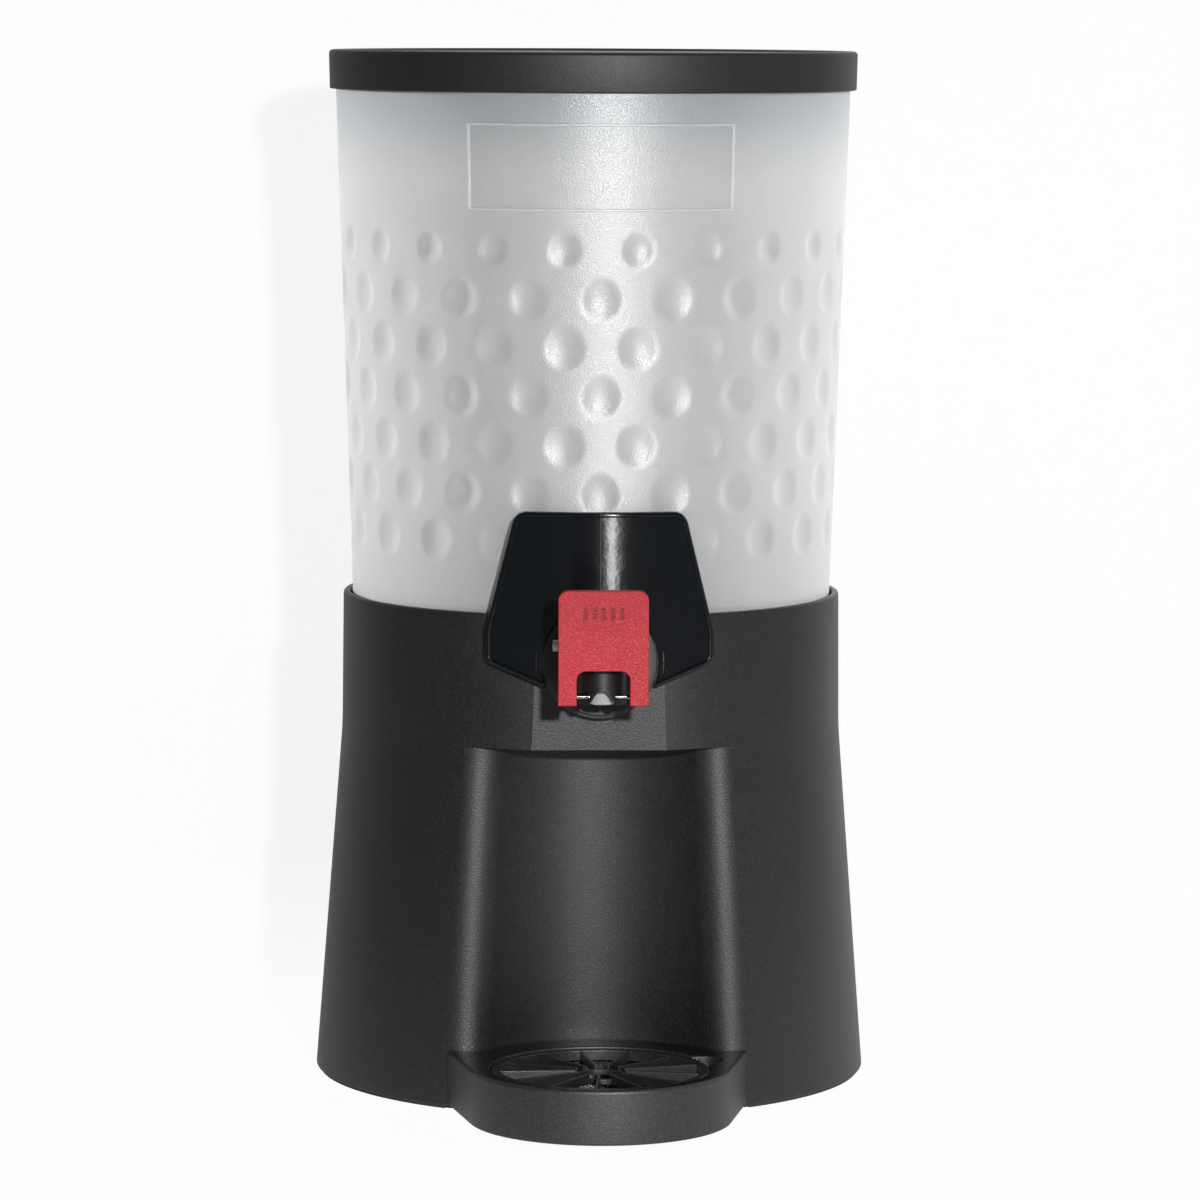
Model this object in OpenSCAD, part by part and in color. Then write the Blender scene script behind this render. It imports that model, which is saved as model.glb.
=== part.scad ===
// Countertop juice dispenser. A drafted container with a lid stands in a flared base.
// A lever tap goes through the front above a glass niche, and a drip tray pulls out below it.
// The front faces -Y, Z is up, and the origin lies on the axis of the base, at the table.

/* [Base] */
// Radius of the base at its foot
base_foot_r = 115; // [110:0.5:122]
// Radius of the base at its rim
base_rim_r = 103.5; // [101:0.5:106]
// How far the waist, where the flare begins, stands out past the rim
waist_out = 0.5; // [0:0.25:3]
// Height of the waist
waist_z = 145; // [135:1:150]
// Height of the rim
rim_z = 201.5; // [198:0.5:210]
// Wall of the base
base_wall = 3; // [2:0.25:4]
// Height of the deck that the container stands on
deck_z = 150; // [146:0.5:154]
// Thickness of the deck, which is also the ceiling of the niche
deck_t = 3; // [2:0.5:5]
// Depth of the flat front panel below the rim's radius
panel_cut = 3.1; // [2:0.1:5]
// Height of the rubber foot ring
foot_h = 1.2; // [0.8:0.1:3]
// Width of the foot ring
foot_w = 8; // [5:0.5:12]
// Thickness of the flange that the foot ring sits under
foot_flange_t = 3; // [2:0.5:5]

/* [Niche] */
// Depth of the niche behind the waist's radius
niche_depth = 33; // [25:1:38]
// Radius of the niche's back wall
niche_r = 55; // [50:1:62]
// Radius of the rounded lips beside the niche
lip_r = 14; // [10:0.5:17]

/* [Container] */
// Radial gap between the container and the base's rim
container_gap = 0.9; // [0.5:0.1:2]
// Draft angle of the container's wall
container_draft = 1.92; // [1:0.02:2.6]
// Height of the container from foot to rim
container_h = 273; // [240:1:320]
// Wall of the container
container_wall = 3; // [2.6:0.1:4]
// Gap between the base's panel and the container's tap flat
flat_gap = 2.4; // [1.5:0.1:4]
// Height of the tap flat above the base's rim
flat_rise = 33.5; // [30:0.5:36]
// Number of dimples in one row
dimple_count = 22; // [16:2:26]
// Number of dimple rows
dimple_rows = 7; // [5:1:7]
// Height of the lowest dimple row above the base's rim
dimple_start = 28.5; // [26:0.5:34]
// Spacing of the dimple rows
dimple_pitch = 19.6; // [18:0.2:21]
// Radius of a dimple's rim
dimple_r = 8.5; // [6:0.5:9]
// Radius of a dimple in the top row
dimple_top_r = 6.5; // [5:0.5:8]
// Depth of a dimple
dimple_depth = 1.7; // [1:0.1:1.9]
// Height of the raised frame
frame_h = 35; // [25:1:45]
// Drop of the raised frame's top edge below the lid
frame_drop = 12; // [6:1:16]
// Angle that the raised frame covers
frame_angle = 60.4; // [40:1:80]
// Width of the raised frame's line
frame_line = 1.2; // [0.8:0.1:2]
// Height of the raised frame's line above the wall
frame_rise = 0.6; // [0.4:0.1:1]

/* [Lid] */
// Height of the lid's skirt, from its lower edge to its top
lid_h = 16; // [12:0.5:24]
// Thickness of the lid's top
lid_top_t = 3; // [2:0.25:5]
// Wall of the lid's skirt
lid_wall = 2; // [1.5:0.1:3]
// Radial gap between the lid and the container
lid_gap = 0.5; // [0.4:0.1:1]
// Radius of the lid's top edge
lid_edge_r = 1.6; // [0.8:0.1:2]
// Height of the locating ring under the lid
lid_ring_h = 6; // [4:0.5:10]

/* [Tap shield] */
// Half width of the shield at its top
shield_top_w = 34; // [28:0.5:40]
// Half width of the shield at its shoulders
shield_w = 46; // [42:0.5:52]
// Height of the shield's top above the base's rim
shield_rise = 42; // [38:0.5:50]
// Drop of the shoulders below the base's rim
shield_shoulder = 6.5; // [4:0.5:8]
// Drop of the lower corners below the base's rim
shield_corner = 19; // [17:0.5:21]
// Drop of the shield's lowest edge below the base's rim
shield_drop = 28; // [26:0.5:29]
// Thickness of the shield
shield_t = 2.8; // [2:0.2:4]
// Gap between the shield and the base
shield_gap = 1.7; // [1:0.1:3]
// Width of the bead along the shield's edge
bead_w = 2; // [1.4:0.1:3]
// Height of the bead
bead_h = 0.9; // [0.5:0.1:1.4]
// Corner radius of the shield
shield_corner_r = 6; // [3:0.5:8]

/* [Tap body] */
// Drop of the tap's axis below the base's rim
tap_drop = 18.3; // [17:0.1:20]
// Radius of the shank's thread
shank_r = 9; // [8:0.25:10]
// Radius of the shank's shoulder
shoulder_r = 13; // [12:0.25:15]
// Radius of the flow bore
flow_r = 4.2; // [3:0.1:4.4]
// Length of the shank inside the container
shank_len = 18; // [16:0.5:24]
// Radius of the flange
flange_r = 20.9; // [19:0.1:22]
// Thickness of the flange
flange_t = 3; // [2:0.25:4]
// Radius of the collar
collar_r = 23.2; // [22.6:0.1:24]
// Thickness of the collar
collar_t = 2.5; // [2:0.25:4]
// Length of the neck between the flange and the barrel
neck_len = 8.4; // [7:0.2:12]
// Radius of the barrel
barrel_r = 10; // [9.75:0.05:10.3]
// Radius of the wet chamber
chamber_r = 7.6; // [7:0.1:7.8]
// Radius of the outlet
outlet_r = 6; // [5.5:0.1:6.4]
// Height of the outlet from the mouth to the valve seat
outlet_h = 8.5; // [8:0.1:9.5]
// Drop of the valve seat below the tap's axis
seat_drop = 5.2; // [5:0.1:6]
// Thickness of the gaskets
gasket_t = 2.2; // [1.5:0.1:3]
// Width across the flats of the shank nut
nut_af = 30; // [26:0.5:34]
// Thickness of the shank nut
nut_t = 9; // [7:0.5:11]

/* [Valve] */
// Radius of the stem
stem_r = 2; // [1.75:0.05:2.25]
// Radius of the crosshead
crosshead_r = 5.4; // [4.6:0.1:5.8]
// Height of the crosshead
crosshead_h = 4.8; // [4.4:0.1:5.4]
// Thickness of the gland
gland_t = 2.4; // [2.2:0.1:3]
// Radius of the seat cup's nose
nose_r = 5.2; // [4.4:0.1:5.2]
// Height of the valve's lift
valve_lift = 3.7; // [3:0.1:4]
// Radius of the link pin
link_r = 1.25; // [1:0.05:1.4]
// Length of the spring
spring_len = 8; // [7.5:0.1:10]
// Mean radius of the spring
spring_r = 4.1; // [3.6:0.1:4.4]
// Radius of the spring's wire
spring_wire_r = 0.35; // [0.25:0.05:0.45]
// Number of turns in the spring
spring_turns = 4; // [3:0.5:5]

/* [Lever] */
// Half width of the lever
lever_w = 17.8; // [17:0.1:20]
// Height of the lever
lever_h = 45.5; // [43:0.5:52]
// Thickness of the lever's plate
lever_t = 4.4; // [3:0.2:6]
// Corner radius at the lever's top
lever_corner_r = 4; // [2:0.5:6]
// Half width of the lever's cut-out
notch_w = 10.5; // [10.5:0.1:11]
// Height of the lever's cut-out
notch_h = 13.7; // [12:0.1:15]
// Corner radius of the cut-out
notch_r = 3.6; // [2:0.2:5]
// Gap between the barrel and the lever's plate
lever_gap = 3.3; // [2.5:0.1:5]
// Thickness of the lever's side webs
web_t = 5.4; // [4:0.1:5.8]
// Radius of the pivot pins
pivot_r = 1.25; // [1:0.05:1.4]
// Set of the pivot pins in front of the barrel's axis
pivot_set = 7.5; // [7:0.1:8]
// Height of the pivot pins above the lever's lower edge
pivot_rise = 2.4; // [2.3:0.1:3]
// Full pull of the lever, in degrees
lever_pull = 20; // [15:1:20]
// Number of grip bars on the lever
grip_bars = 5; // [3:1:7]

/* [Drip tray] */
// Height of the tray
tray_h = 22; // [18:0.5:28]
// Clearance under the tray
tray_lift = 2; // [1.5:0.1:4]
// How much smaller the tray's round front is than the niche, in radius
tray_front_in = 2; // [0:0.5:5]
// How much smaller the round recess for the grille is than the niche, in radius
well_in = 11; // [9:0.5:15]
// Set of the recess ahead of the niche's centre
tray_set = 6.3; // [3:0.1:10]
// Gap between the tray and the base
tray_gap = 0.6; // [0.4:0.1:1]
// Width of the tray's rim in front of the recess
tray_rim = 4.4; // [3.4:0.1:6]
// Thickness of the tray's floor
tray_floor = 3; // [2:0.25:4]
// Width of the ledge under the grille
ledge_w = 3.5; // [2.5:0.1:4]
// Half width of the tongue that hooks into the base
tongue_w = 18; // [12:1:24]
// Thickness of the tongue
tongue_t = 3; // [2:0.25:4]
// Length of the tongue
tongue_len = 9; // [6:0.5:12]

/* [Grille] */
// Number of blades
blade_count = 13; // [8:1:16]
// Thickness of a blade
blade_t = 1.3; // [1:0.1:2]
// Height of the grille
grille_h = 4.4; // [3:0.2:6]
// Radial gap between the grille and the tray
grille_gap = 0.5; // [0.3:0.1:0.8]
// Width of the grille's ring
ring_w = 3.4; // [2.5:0.1:5]
// Radius of the open hub
hub_r = 9.5; // [7:0.5:12]

/* [Hidden] */
$fn = 96;

// Reach past a face, so that a cut goes right through
over = 1;
// Clearance of a pin, shaft or thread in its hole
run = 0.05;
// Clearance between pieces that lie beside each other
beside = 0.3;
// Length that is longer than any piece
far = 240;

// Heights and radii of the base
base_waist_r = base_rim_r + waist_out;
flare_slope = (base_foot_r - base_waist_r) / (waist_z - foot_h);
niche_top = deck_z - deck_t;
niche_set = base_waist_r - niche_depth + niche_r;
panel_set = base_rim_r - panel_cut;
waist_blend = 6;
rim_round = 1;

// Heights and radii of the container
slope = tan(container_draft);
container_rim_z = deck_z + container_h;
flat_set = panel_set - base_wall - flat_gap;
flat_top = rim_z + flat_rise;
flat_half = 60;
frame_top = container_rim_z + lid_top_t - lid_h - frame_drop;

// Places along the tap, as distances from the axis of the base
tap_z = rim_z - tap_drop;
shield_r = base_rim_r + shield_gap;
tab_back = panel_set + 0.5;
tab_t = 2.2;
collar_back = tab_back + tab_t;
flange_back = collar_back + collar_t;
flange_front = flange_back + flange_t;
barrel_set = flange_front + neck_len + barrel_r;
gasket_front = flat_set + gasket_t;
slot_r = shoulder_r + 0.8;

// Heights in the tap's barrel
seat_z = tap_z - seat_drop;
mouth_z = seat_z - outlet_h;
gland_z = tap_z + flow_r + 0.1;
gland_top = gland_z + gland_t;
gland_r = chamber_r + 0.5;
crosshead_z = gland_top + beside;
crosshead_top = crosshead_z + crosshead_h;
link_z = crosshead_z + crosshead_h / 2 - 0.2;
spring_top = crosshead_top + spring_len;
bonnet_t = 2;
bonnet_top = spring_top + bonnet_t;
barrel_top = bonnet_top - 6;
arch_w = 5.6;
arch_rise = 5.9;
arch_top_r = 3.4;
arch_steps = 12;
arch_top = arch_rise - arch_top_r;
arch_lean = acos(arch_top_r / norm([arch_w, arch_top])) - atan2(arch_top, arch_w);

// Places on the lever
lever_back = barrel_set + barrel_r + lever_gap;
lever_foot = mouth_z + 1;
pivot_y = barrel_set + pivot_set;
pivot_z = lever_foot + pivot_rise;
web_in = barrel_r + 1;
web_out = web_in + web_t;
link_head_r = 2.3;
link_head_t = 2.8;
link_up = link_z - pivot_z;
slot_travel = link_up * sin(lever_pull) + valve_lift * sin(lever_pull) + 0.2;
slot_room = 0.45;
arm_r = 4;

// Places on the tray
well_r = niche_r - well_in;
tray_front_r = niche_r - tray_front_in;
tray_centre = niche_set + tray_set;
tray_top = tray_lift + tray_h;
front_centre = tray_centre + well_r + tray_rim - tray_front_r;
grille_r = well_r - grille_gap;
ledge_z = tray_top - grille_h - 0.6;
tongue_z = tray_lift + 4;
finger_r = 8;
finger_angle = 20;

// Radius of the base's flare at height z
function flare_r(z) = base_foot_r - flare_slope * (z - foot_h);

// Radius of the container's outer wall at height z
function container_r(z) = base_rim_r - base_wall - container_gap + slope * (z - rim_z);

// Point on a circle
function at(c, r, a) = c + r * [cos(a), sin(a)];

// Points along an arc from angle a to angle b, in n steps
function arc(c, r, a, b, n) = [for (i = [0 : n]) at(c, r, a + (b - a) * i / n)];

// Centre of the right lip, where the base's flare has radius r
function lip_centre(r) =
    let (p = r - lip_r)
    let (q = niche_r + lip_r)
    let (y = (p * p + niche_set * niche_set - q * q) / (2 * niche_set))
    [sqrt(p * p - y * y), -y];

// Mirror a list of points to the other side, in reverse order
function mirrored(points) = [for (i = [len(points) - 1 : -1 : 0]) [-points[i][0], points[i][1]]];

// Outline of the niche where the flare has radius r, set back by a wall w
function niche_outline(r, w) =
    let (c = [0, -niche_set])
    let (p = lip_centre(r))
    let (a_out = atan2(p[1], p[0]))
    let (a_in = atan2(c[1] - p[1], c[0] - p[0]))
    let (a_back = atan2(p[1] - c[1], p[0] - c[0]))
    let (reach = [at([0, 0], r + 40, a_out)])
    let (lip = arc(p, lip_r - w, a_out, a_in, 10))
    let (side = concat(reach, lip))
    let (back = arc(c, niche_r + w, a_back, 180 - a_back, 24))
    let (front = [[-90, -far], [90, -far]])
    concat(side, back, mirrored(side), front);

// Ruled solid between two outlines of the same number of points
module ruled(low, high, z0, z1) {
    n = len(low);
    points = concat([for (p = low) [p[0], p[1], z0]], [for (p = high) [p[0], p[1], z1]]);
    floor_face = [for (i = [0 : n - 1]) i];
    roof_face = [for (i = [n - 1 : -1 : 0]) n + i];
    sides = [for (i = [0 : n - 1]) let (j = (i + 1) % n) each [[i, n + i, n + j], [i, n + j, j]]];
    polyhedron(points, concat([floor_face, roof_face], sides), convexity = 6);
}

// Space of the niche, grown by a wall w, up to height z1
module niche(w, z1) {
    ruled(niche_outline(flare_r(-over), w), niche_outline(flare_r(z1), w), -over, z1);
}

// Place something on the tap's axis, a distance from the axis of the base, lying along -Y
module on_tap(set) {
    translate([0, -set, tap_z]) rotate([90, 0, 0]) children();
}

// Place something on the barrel's upright axis
module on_barrel(z) {
    translate([0, -barrel_set, z]) children();
}

// Place something on a cross axis, centred on x = 0
module across(set, z) {
    translate([0, -set, z]) rotate([0, 90, 0]) children();
}

// Half space in front of a distance from the axis, between two heights
module front_block(set, z0, z1) {
    translate([-flat_half, -set - far, z0]) cube([2 * flat_half, far, z1 - z0]);
}

// Outer form of the base
module base_form() {
    difference() {
        rotate_extrude() polygon([
            [0, foot_h], [base_foot_r, foot_h],
            [flare_r(waist_z - waist_blend), waist_z - waist_blend],
            [base_waist_r + (flare_r(waist_z - waist_blend) - base_waist_r) / 4, waist_z],
            [base_waist_r - (base_waist_r - base_rim_r) / 8, waist_z + waist_blend],
            [base_rim_r, rim_z - rim_round], [base_rim_r - rim_round, rim_z], [0, rim_z]
        ]);
        front_block(panel_set, niche_top, rim_z + over);
    }
}

// Well above the deck, where the container stands
module base_well() {
    difference() {
        translate([0, 0, deck_z])
            cylinder(r1 = base_waist_r - base_wall - 0.5, r2 = base_rim_r - base_wall, h = rim_z - deck_z);
        front_block(panel_set - base_wall, deck_z - over, rim_z + over);
    }
    translate([0, 0, rim_z]) cylinder(r = base_rim_r - base_wall, h = over);
}

// Hollow under the deck, open at the foot
module base_underside() {
    flange_z = foot_h + foot_flange_t;
    translate([0, 0, flange_z]) cylinder(
        r1 = flare_r(flange_z) - base_wall,
        r2 = base_waist_r - base_wall - 0.5,
        h = niche_top - flange_z
    );
    cylinder(r = base_foot_r - base_wall - foot_w, h = flange_z + over);
}

// Base: flared housing with a deck, a glass niche, a slot for the tap and one for the tray
module base_housing() {
    color([0.17, 0.17, 0.18]) difference() {
        base_form();
        base_well();
        difference() {
            base_underside();
            niche(base_wall, niche_top + over);
        }
        niche(0, niche_top);
        on_tap(panel_set - base_wall - over) cylinder(r = slot_r, h = base_wall + 2 * over);
        translate([-slot_r, -panel_set - over, tap_z])
            cube([2 * slot_r, base_wall + 2 * over, rim_z - tap_z + over]);
        translate([-tongue_w - tray_gap, -niche_set, tongue_z])
            cube([2 * (tongue_w + tray_gap), niche_r + base_wall + over, tongue_t + 0.4]);
    }
}

// Rubber ring under the base, open where the tray goes in
module foot_ring() {
    color([0.08, 0.08, 0.08]) difference() {
        cylinder(r = base_foot_r - base_wall / 2, h = foot_h);
        translate([0, 0, -over]) cylinder(r = base_foot_r - base_wall / 2 - foot_w, h = foot_h + 2 * over);
        niche(base_wall, foot_h + over);
    }
}

// Container's form, set in by a wall w
module container_form(w, floor_t) {
    z0 = deck_z + floor_t;
    z1 = container_rim_z + (w > 0 ? over : 0);
    difference() {
        translate([0, 0, z0]) cylinder(r1 = container_r(z0) - w, r2 = container_r(z1) - w, h = z1 - z0);
        front_block(flat_set - w, deck_z - over, flat_top + w);
    }
}

// Tool for one dimple of rim radius r: a ball's cap on a short round block, deepest at the origin
module dimple_tool(r) {
    ball = (r * r + dimple_depth * dimple_depth) / (2 * dimple_depth);
    rotate_extrude() intersection() {
        translate([0, ball]) circle(r = ball);
        square([r + 1, dimple_depth + 1.5]);
    }
}

// One dimple of rim radius r, square to the wall at height z and at an angle from the front
module dimple(r, z, angle) {
    rotate([0, 0, angle - 90]) translate([container_r(z) - dimple_depth, 0, z])
        rotate([0, 90 + container_draft, 0]) dimple_tool(r);
}

// Rows of dimples, every second row half a pitch round
module dimples() {
    step = 360 / dimple_count;
    for (row = [0 : dimple_rows - 1]) {
        z = rim_z + dimple_start + row * dimple_pitch;
        r = row == dimple_rows - 1 ? dimple_top_r : dimple_r;
        for (i = [0 : dimple_count - 1]) {
            angle = (i + (row % 2 == 0 ? 0.5 : 0)) * step;
            hidden = z - r < flat_top && cos(angle) > 0.96;
            if (!hidden) dimple(r, z, angle);
        }
    }
}

// Band on the wall between two heights, over an angle at the front, from a depth to a rise
module wall_band(z0, z1, angle, depth, rise) {
    rotate([0, 0, -90 - angle / 2]) rotate_extrude(angle = angle) polygon([
        [container_r(z0) - depth, z0],
        [container_r(z0) + rise, z0],
        [container_r(z1) + rise, z1],
        [container_r(z1) - depth, z1]
    ]);
}

// Plain raised frame on the container's front
module raised_frame() {
    z0 = frame_top - frame_h;
    both_lines = 2 * frame_line / container_r(frame_top) * 180 / PI;
    difference() {
        wall_band(z0, frame_top, frame_angle, container_wall / 2, frame_rise);
        wall_band(z0 + frame_line, frame_top - frame_line, frame_angle - both_lines, container_wall, 2 * frame_rise);
    }
}

// Container: drafted and dimpled, with a tap flat and a plain raised frame
module container() {
    color([0.86, 0.88, 0.89]) union() {
        difference() {
            container_form(0, 0);
            container_form(container_wall, container_wall);
            dimples();
            on_tap(flat_set - container_wall - over) cylinder(r = shank_r + 0.4, h = container_wall + 2 * over);
        }
        raised_frame();
    }
}

// Lid: cap with a skirt outside the container's rim and a locating ring inside it
module lid() {
    r_in = container_r(container_rim_z) + lid_gap;
    r_out = r_in + lid_wall;
    z_top = container_rim_z + lid_top_t;
    ring_r = container_r(container_rim_z) - container_wall - 0.8;
    dish = 1;
    color([0.13, 0.13, 0.14]) rotate_extrude() union() {
        polygon([
            [0, container_rim_z], [r_in, container_rim_z], [r_in, z_top - lid_h], [r_out - 0.4, z_top - lid_h],
            [r_out, z_top - lid_edge_r], [r_out - lid_edge_r, z_top - lid_edge_r], [r_out - lid_edge_r, z_top],
            [r_out - lid_edge_r - 4, z_top], [r_out - lid_edge_r - 5, z_top - dish], [0, z_top - dish]
        ]);
        intersection() {
            translate([r_out - lid_edge_r, z_top - lid_edge_r]) circle(r = lid_edge_r);
            translate([r_out - lid_edge_r, z_top - lid_edge_r]) square(lid_edge_r);
        }
        translate([ring_r - lid_wall, container_rim_z - lid_ring_h]) square([lid_wall, lid_ring_h + lid_top_t / 2]);
    }
}

// Corner points of the shield's outline, drawn in by d
function shield_corners(d) = [
    [shield_top_w - d, rim_z + shield_rise - d],
    [shield_w - d, rim_z - shield_shoulder - d / 4],
    [shield_w - d, rim_z - shield_corner + d / 2],
    [collar_r, rim_z - shield_drop + d]
];

// Arc that rounds the corner b between a and c with radius r
function corner_arc(a, b, c, r) =
    let (u = (a - b) / norm(a - b))
    let (v = (c - b) / norm(c - b))
    let (half = acos(u * v) / 2)
    let (m = (u + v) / norm(u + v))
    let (o = b + m * r / sin(half))
    let (p = b + u * r / tan(half))
    let (q = b + v * r / tan(half))
    let (a0 = atan2(p[1] - o[1], p[0] - o[0]))
    let (turn = atan2(q[1] - o[1], q[0] - o[0]) - a0)
    let (short = turn > 180 ? turn - 360 : turn < -180 ? turn + 360 : turn)
    arc(o, r, a0, a0 + short, 6);

// Outline of the shield as seen from the front, drawn in by d
module shield_outline(d) {
    k = shield_corners(d);
    top = [0, k[0][1]];
    right = concat(
        corner_arc(top, k[0], k[1], shield_corner_r),
        [k[1]],
        corner_arc(k[1], k[2], k[3], shield_corner_r * 0.7),
        [k[3]]
    );
    polygon(concat(right, mirrored(right)));
}

// Extrude an outline that is drawn in X and Z, between two distances from the axis
module face_on(set, reach) {
    translate([0, -set, 0]) rotate([90, 0, 0]) linear_extrude(reach) children();
}

// Curved layer of the shield between two radii
module shield_layer(r_in, r_out) {
    difference() {
        cylinder(r = r_out, h = rim_z + shield_rise + over);
        translate([0, 0, -over]) cylinder(r = r_in, h = rim_z + shield_rise + 3 * over);
    }
}

// Shield: curved plate with a bead, and a flat tab that the collar clamps
module tap_shield() {
    hole_r = collar_r + 0.6;
    wall_r = hole_r + bead_w;
    plate_r = shield_r + shield_t;
    color([0.06, 0.07, 0.08]) difference() {
        union() {
            intersection() {
                shield_layer(shield_r + over, plate_r + bead_h);
                face_on(tab_back - 30, far / 4) difference() {
                    shield_outline(0);
                    shield_outline(bead_w);
                }
            }
            intersection() {
                shield_layer(shield_r, plate_r);
                face_on(tab_back - 30, far / 4) shield_outline(0);
            }
            intersection() {
                face_on(tab_back, plate_r + bead_h - tab_back) shield_outline(0);
                on_tap(tab_back) cylinder(r = wall_r, h = far);
                cylinder(r = plate_r + bead_h, h = far + rim_z);
            }
            on_tap(tab_back) cylinder(r = collar_r - 0.4, h = tab_t);
        }
        on_tap(collar_back) cylinder(r = hole_r, h = far);
        on_tap(tab_back - over) cylinder(r = shoulder_r + run, h = tab_t + 2 * over);
    }
}

// Collar: matte ring between the shield's tab and the tap's flange
module tap_collar() {
    color([0.2, 0.2, 0.21]) on_tap(collar_back) difference() {
        cylinder(r = collar_r, h = collar_t);
        translate([0, 0, -over]) cylinder(r = shoulder_r + run, h = collar_t + 2 * over);
    }
}

// Outline of the arch in the spout's front, grown by g: a round top and sides that lean out to the foot
module arch(g) {
    r = arch_top_r + g;
    low = arch_w + g / cos(arch_lean) + over * tan(arch_lean);
    crown = [for (i = [0 : arch_steps]) let (a = arch_lean + (180 - 2 * arch_lean) * i / arch_steps)
        [r * cos(a), arch_top + r * sin(a)]];
    polygon(concat([[-low, -over], [low, -over]], crown));
}

// Tap body: threaded shank, shoulder, flange, neck and an upright barrel with the spout
module tap_body() {
    pin_hole = pivot_r + run;
    link_slot = link_r + slot_room;
    color([0.07, 0.07, 0.08]) difference() {
        union() {
            on_tap(flat_set - container_wall - shank_len) cylinder(r = shank_r, h = shank_len + container_wall + over);
            on_tap(flat_set) cylinder(r = shank_r, h = gasket_t + over);
            on_tap(gasket_front) cylinder(r = shoulder_r, h = flange_back - gasket_front + over);
            on_tap(flange_back) cylinder(r = flange_r, h = flange_t);
            on_tap(flange_front - over) cylinder(r = barrel_r - 0.4, h = neck_len + barrel_r);
            on_barrel(mouth_z) cylinder(r = barrel_r, h = barrel_top - mouth_z);
            intersection() {
                on_barrel(mouth_z) cylinder(r = barrel_r + 0.9, h = outlet_h);
                translate([0, -barrel_set, mouth_z]) rotate([90, 0, 0]) linear_extrude(2 * barrel_r) arch(1.2);
            }
        }
        on_tap(flat_set - container_wall - shank_len - over)
            cylinder(r = flow_r, h = barrel_set - flat_set + container_wall + shank_len + over);
        on_barrel(mouth_z - over) cylinder(r = outlet_r, h = outlet_h + 2 * over);
        on_barrel(seat_z) cylinder(r = chamber_r, h = gland_z - seat_z + over);
        on_barrel(gland_z) cylinder(r = gland_r, h = barrel_top - gland_z + over);
        translate([0, -barrel_set, mouth_z]) rotate([90, 0, 0]) linear_extrude(2 * barrel_r) arch(0);
        across(pivot_y, pivot_z) cylinder(r = pin_hole, h = 4 * barrel_r, center = true);
        across(barrel_set, link_z) cylinder(r = link_slot, h = 4 * barrel_r, center = true);
        translate([-2 * barrel_r, -barrel_set - link_slot, link_z])
            cube([4 * barrel_r, 2 * link_slot, valve_lift]);
        across(barrel_set, link_z + valve_lift) cylinder(r = link_slot, h = 4 * barrel_r, center = true);
    }
}

// Rubber ring between the shank's shoulder and the container
module outer_gasket() {
    color([0.1, 0.1, 0.1]) on_tap(flat_set) difference() {
        cylinder(r = shoulder_r, h = gasket_t);
        translate([0, 0, -over]) cylinder(r = shank_r + run, h = gasket_t + 2 * over);
    }
}

// Rubber ring between the container and the shank's nut
module inner_gasket() {
    color([0.1, 0.1, 0.1]) on_tap(flat_set - container_wall - gasket_t) difference() {
        cylinder(r = shoulder_r, h = gasket_t);
        translate([0, 0, -over]) cylinder(r = shank_r + run, h = gasket_t + 2 * over);
    }
}

// Hexagonal nut inside the container
module shank_nut() {
    color([0.09, 0.09, 0.1]) on_tap(flat_set - container_wall - gasket_t - nut_t) difference() {
        cylinder(r = nut_af / sqrt(3), h = nut_t, $fn = 6);
        translate([0, 0, -over]) cylinder(r = shank_r + run, h = nut_t + 2 * over);
    }
}

// Gland: disc that closes the chamber, with a groove for the stem's ring
module stem_gland() {
    groove = 0.8;
    color([0.75, 0.75, 0.73]) on_barrel(gland_z) rotate_extrude() difference() {
        translate([stem_r + run, 0]) square([gland_r - stem_r - 2 * run, gland_t]);
        translate([0, gland_t / 2 - groove]) square([stem_r + 2 * groove, 2 * groove]);
    }
}

// Small rubber ring round the stem, in the gland's groove
module stem_ring() {
    section_r = 0.7;
    color([0.1, 0.1, 0.1]) on_barrel(gland_z + gland_t / 2) rotate_extrude()
        translate([stem_r + section_r + 2 * run, 0]) circle(r = section_r);
}

// Bonnet: screws into the barrel, holds the gland down and takes the spring's thrust
module bonnet() {
    sleeve_in = crosshead_r + 0.6;
    link_slot = link_r + slot_room;
    color([0.08, 0.08, 0.09]) difference() {
        union() {
            on_barrel(gland_top) cylinder(r = gland_r - run, h = barrel_top - gland_top + over);
            on_barrel(barrel_top) cylinder(r = barrel_r - 0.2, h = bonnet_top - barrel_top - over);
            on_barrel(bonnet_top - over) cylinder(r1 = barrel_r - 0.2, r2 = barrel_r - 0.2 - over, h = over);
        }
        on_barrel(gland_top - over) cylinder(r = sleeve_in, h = spring_top - gland_top + over);
        translate([-2 * barrel_r, -barrel_set - link_slot, gland_top - over])
            cube([4 * barrel_r, 2 * link_slot, link_z + valve_lift - gland_top + over]);
        across(barrel_set, link_z + valve_lift) cylinder(r = link_slot, h = 4 * barrel_r, center = true);
    }
}

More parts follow.
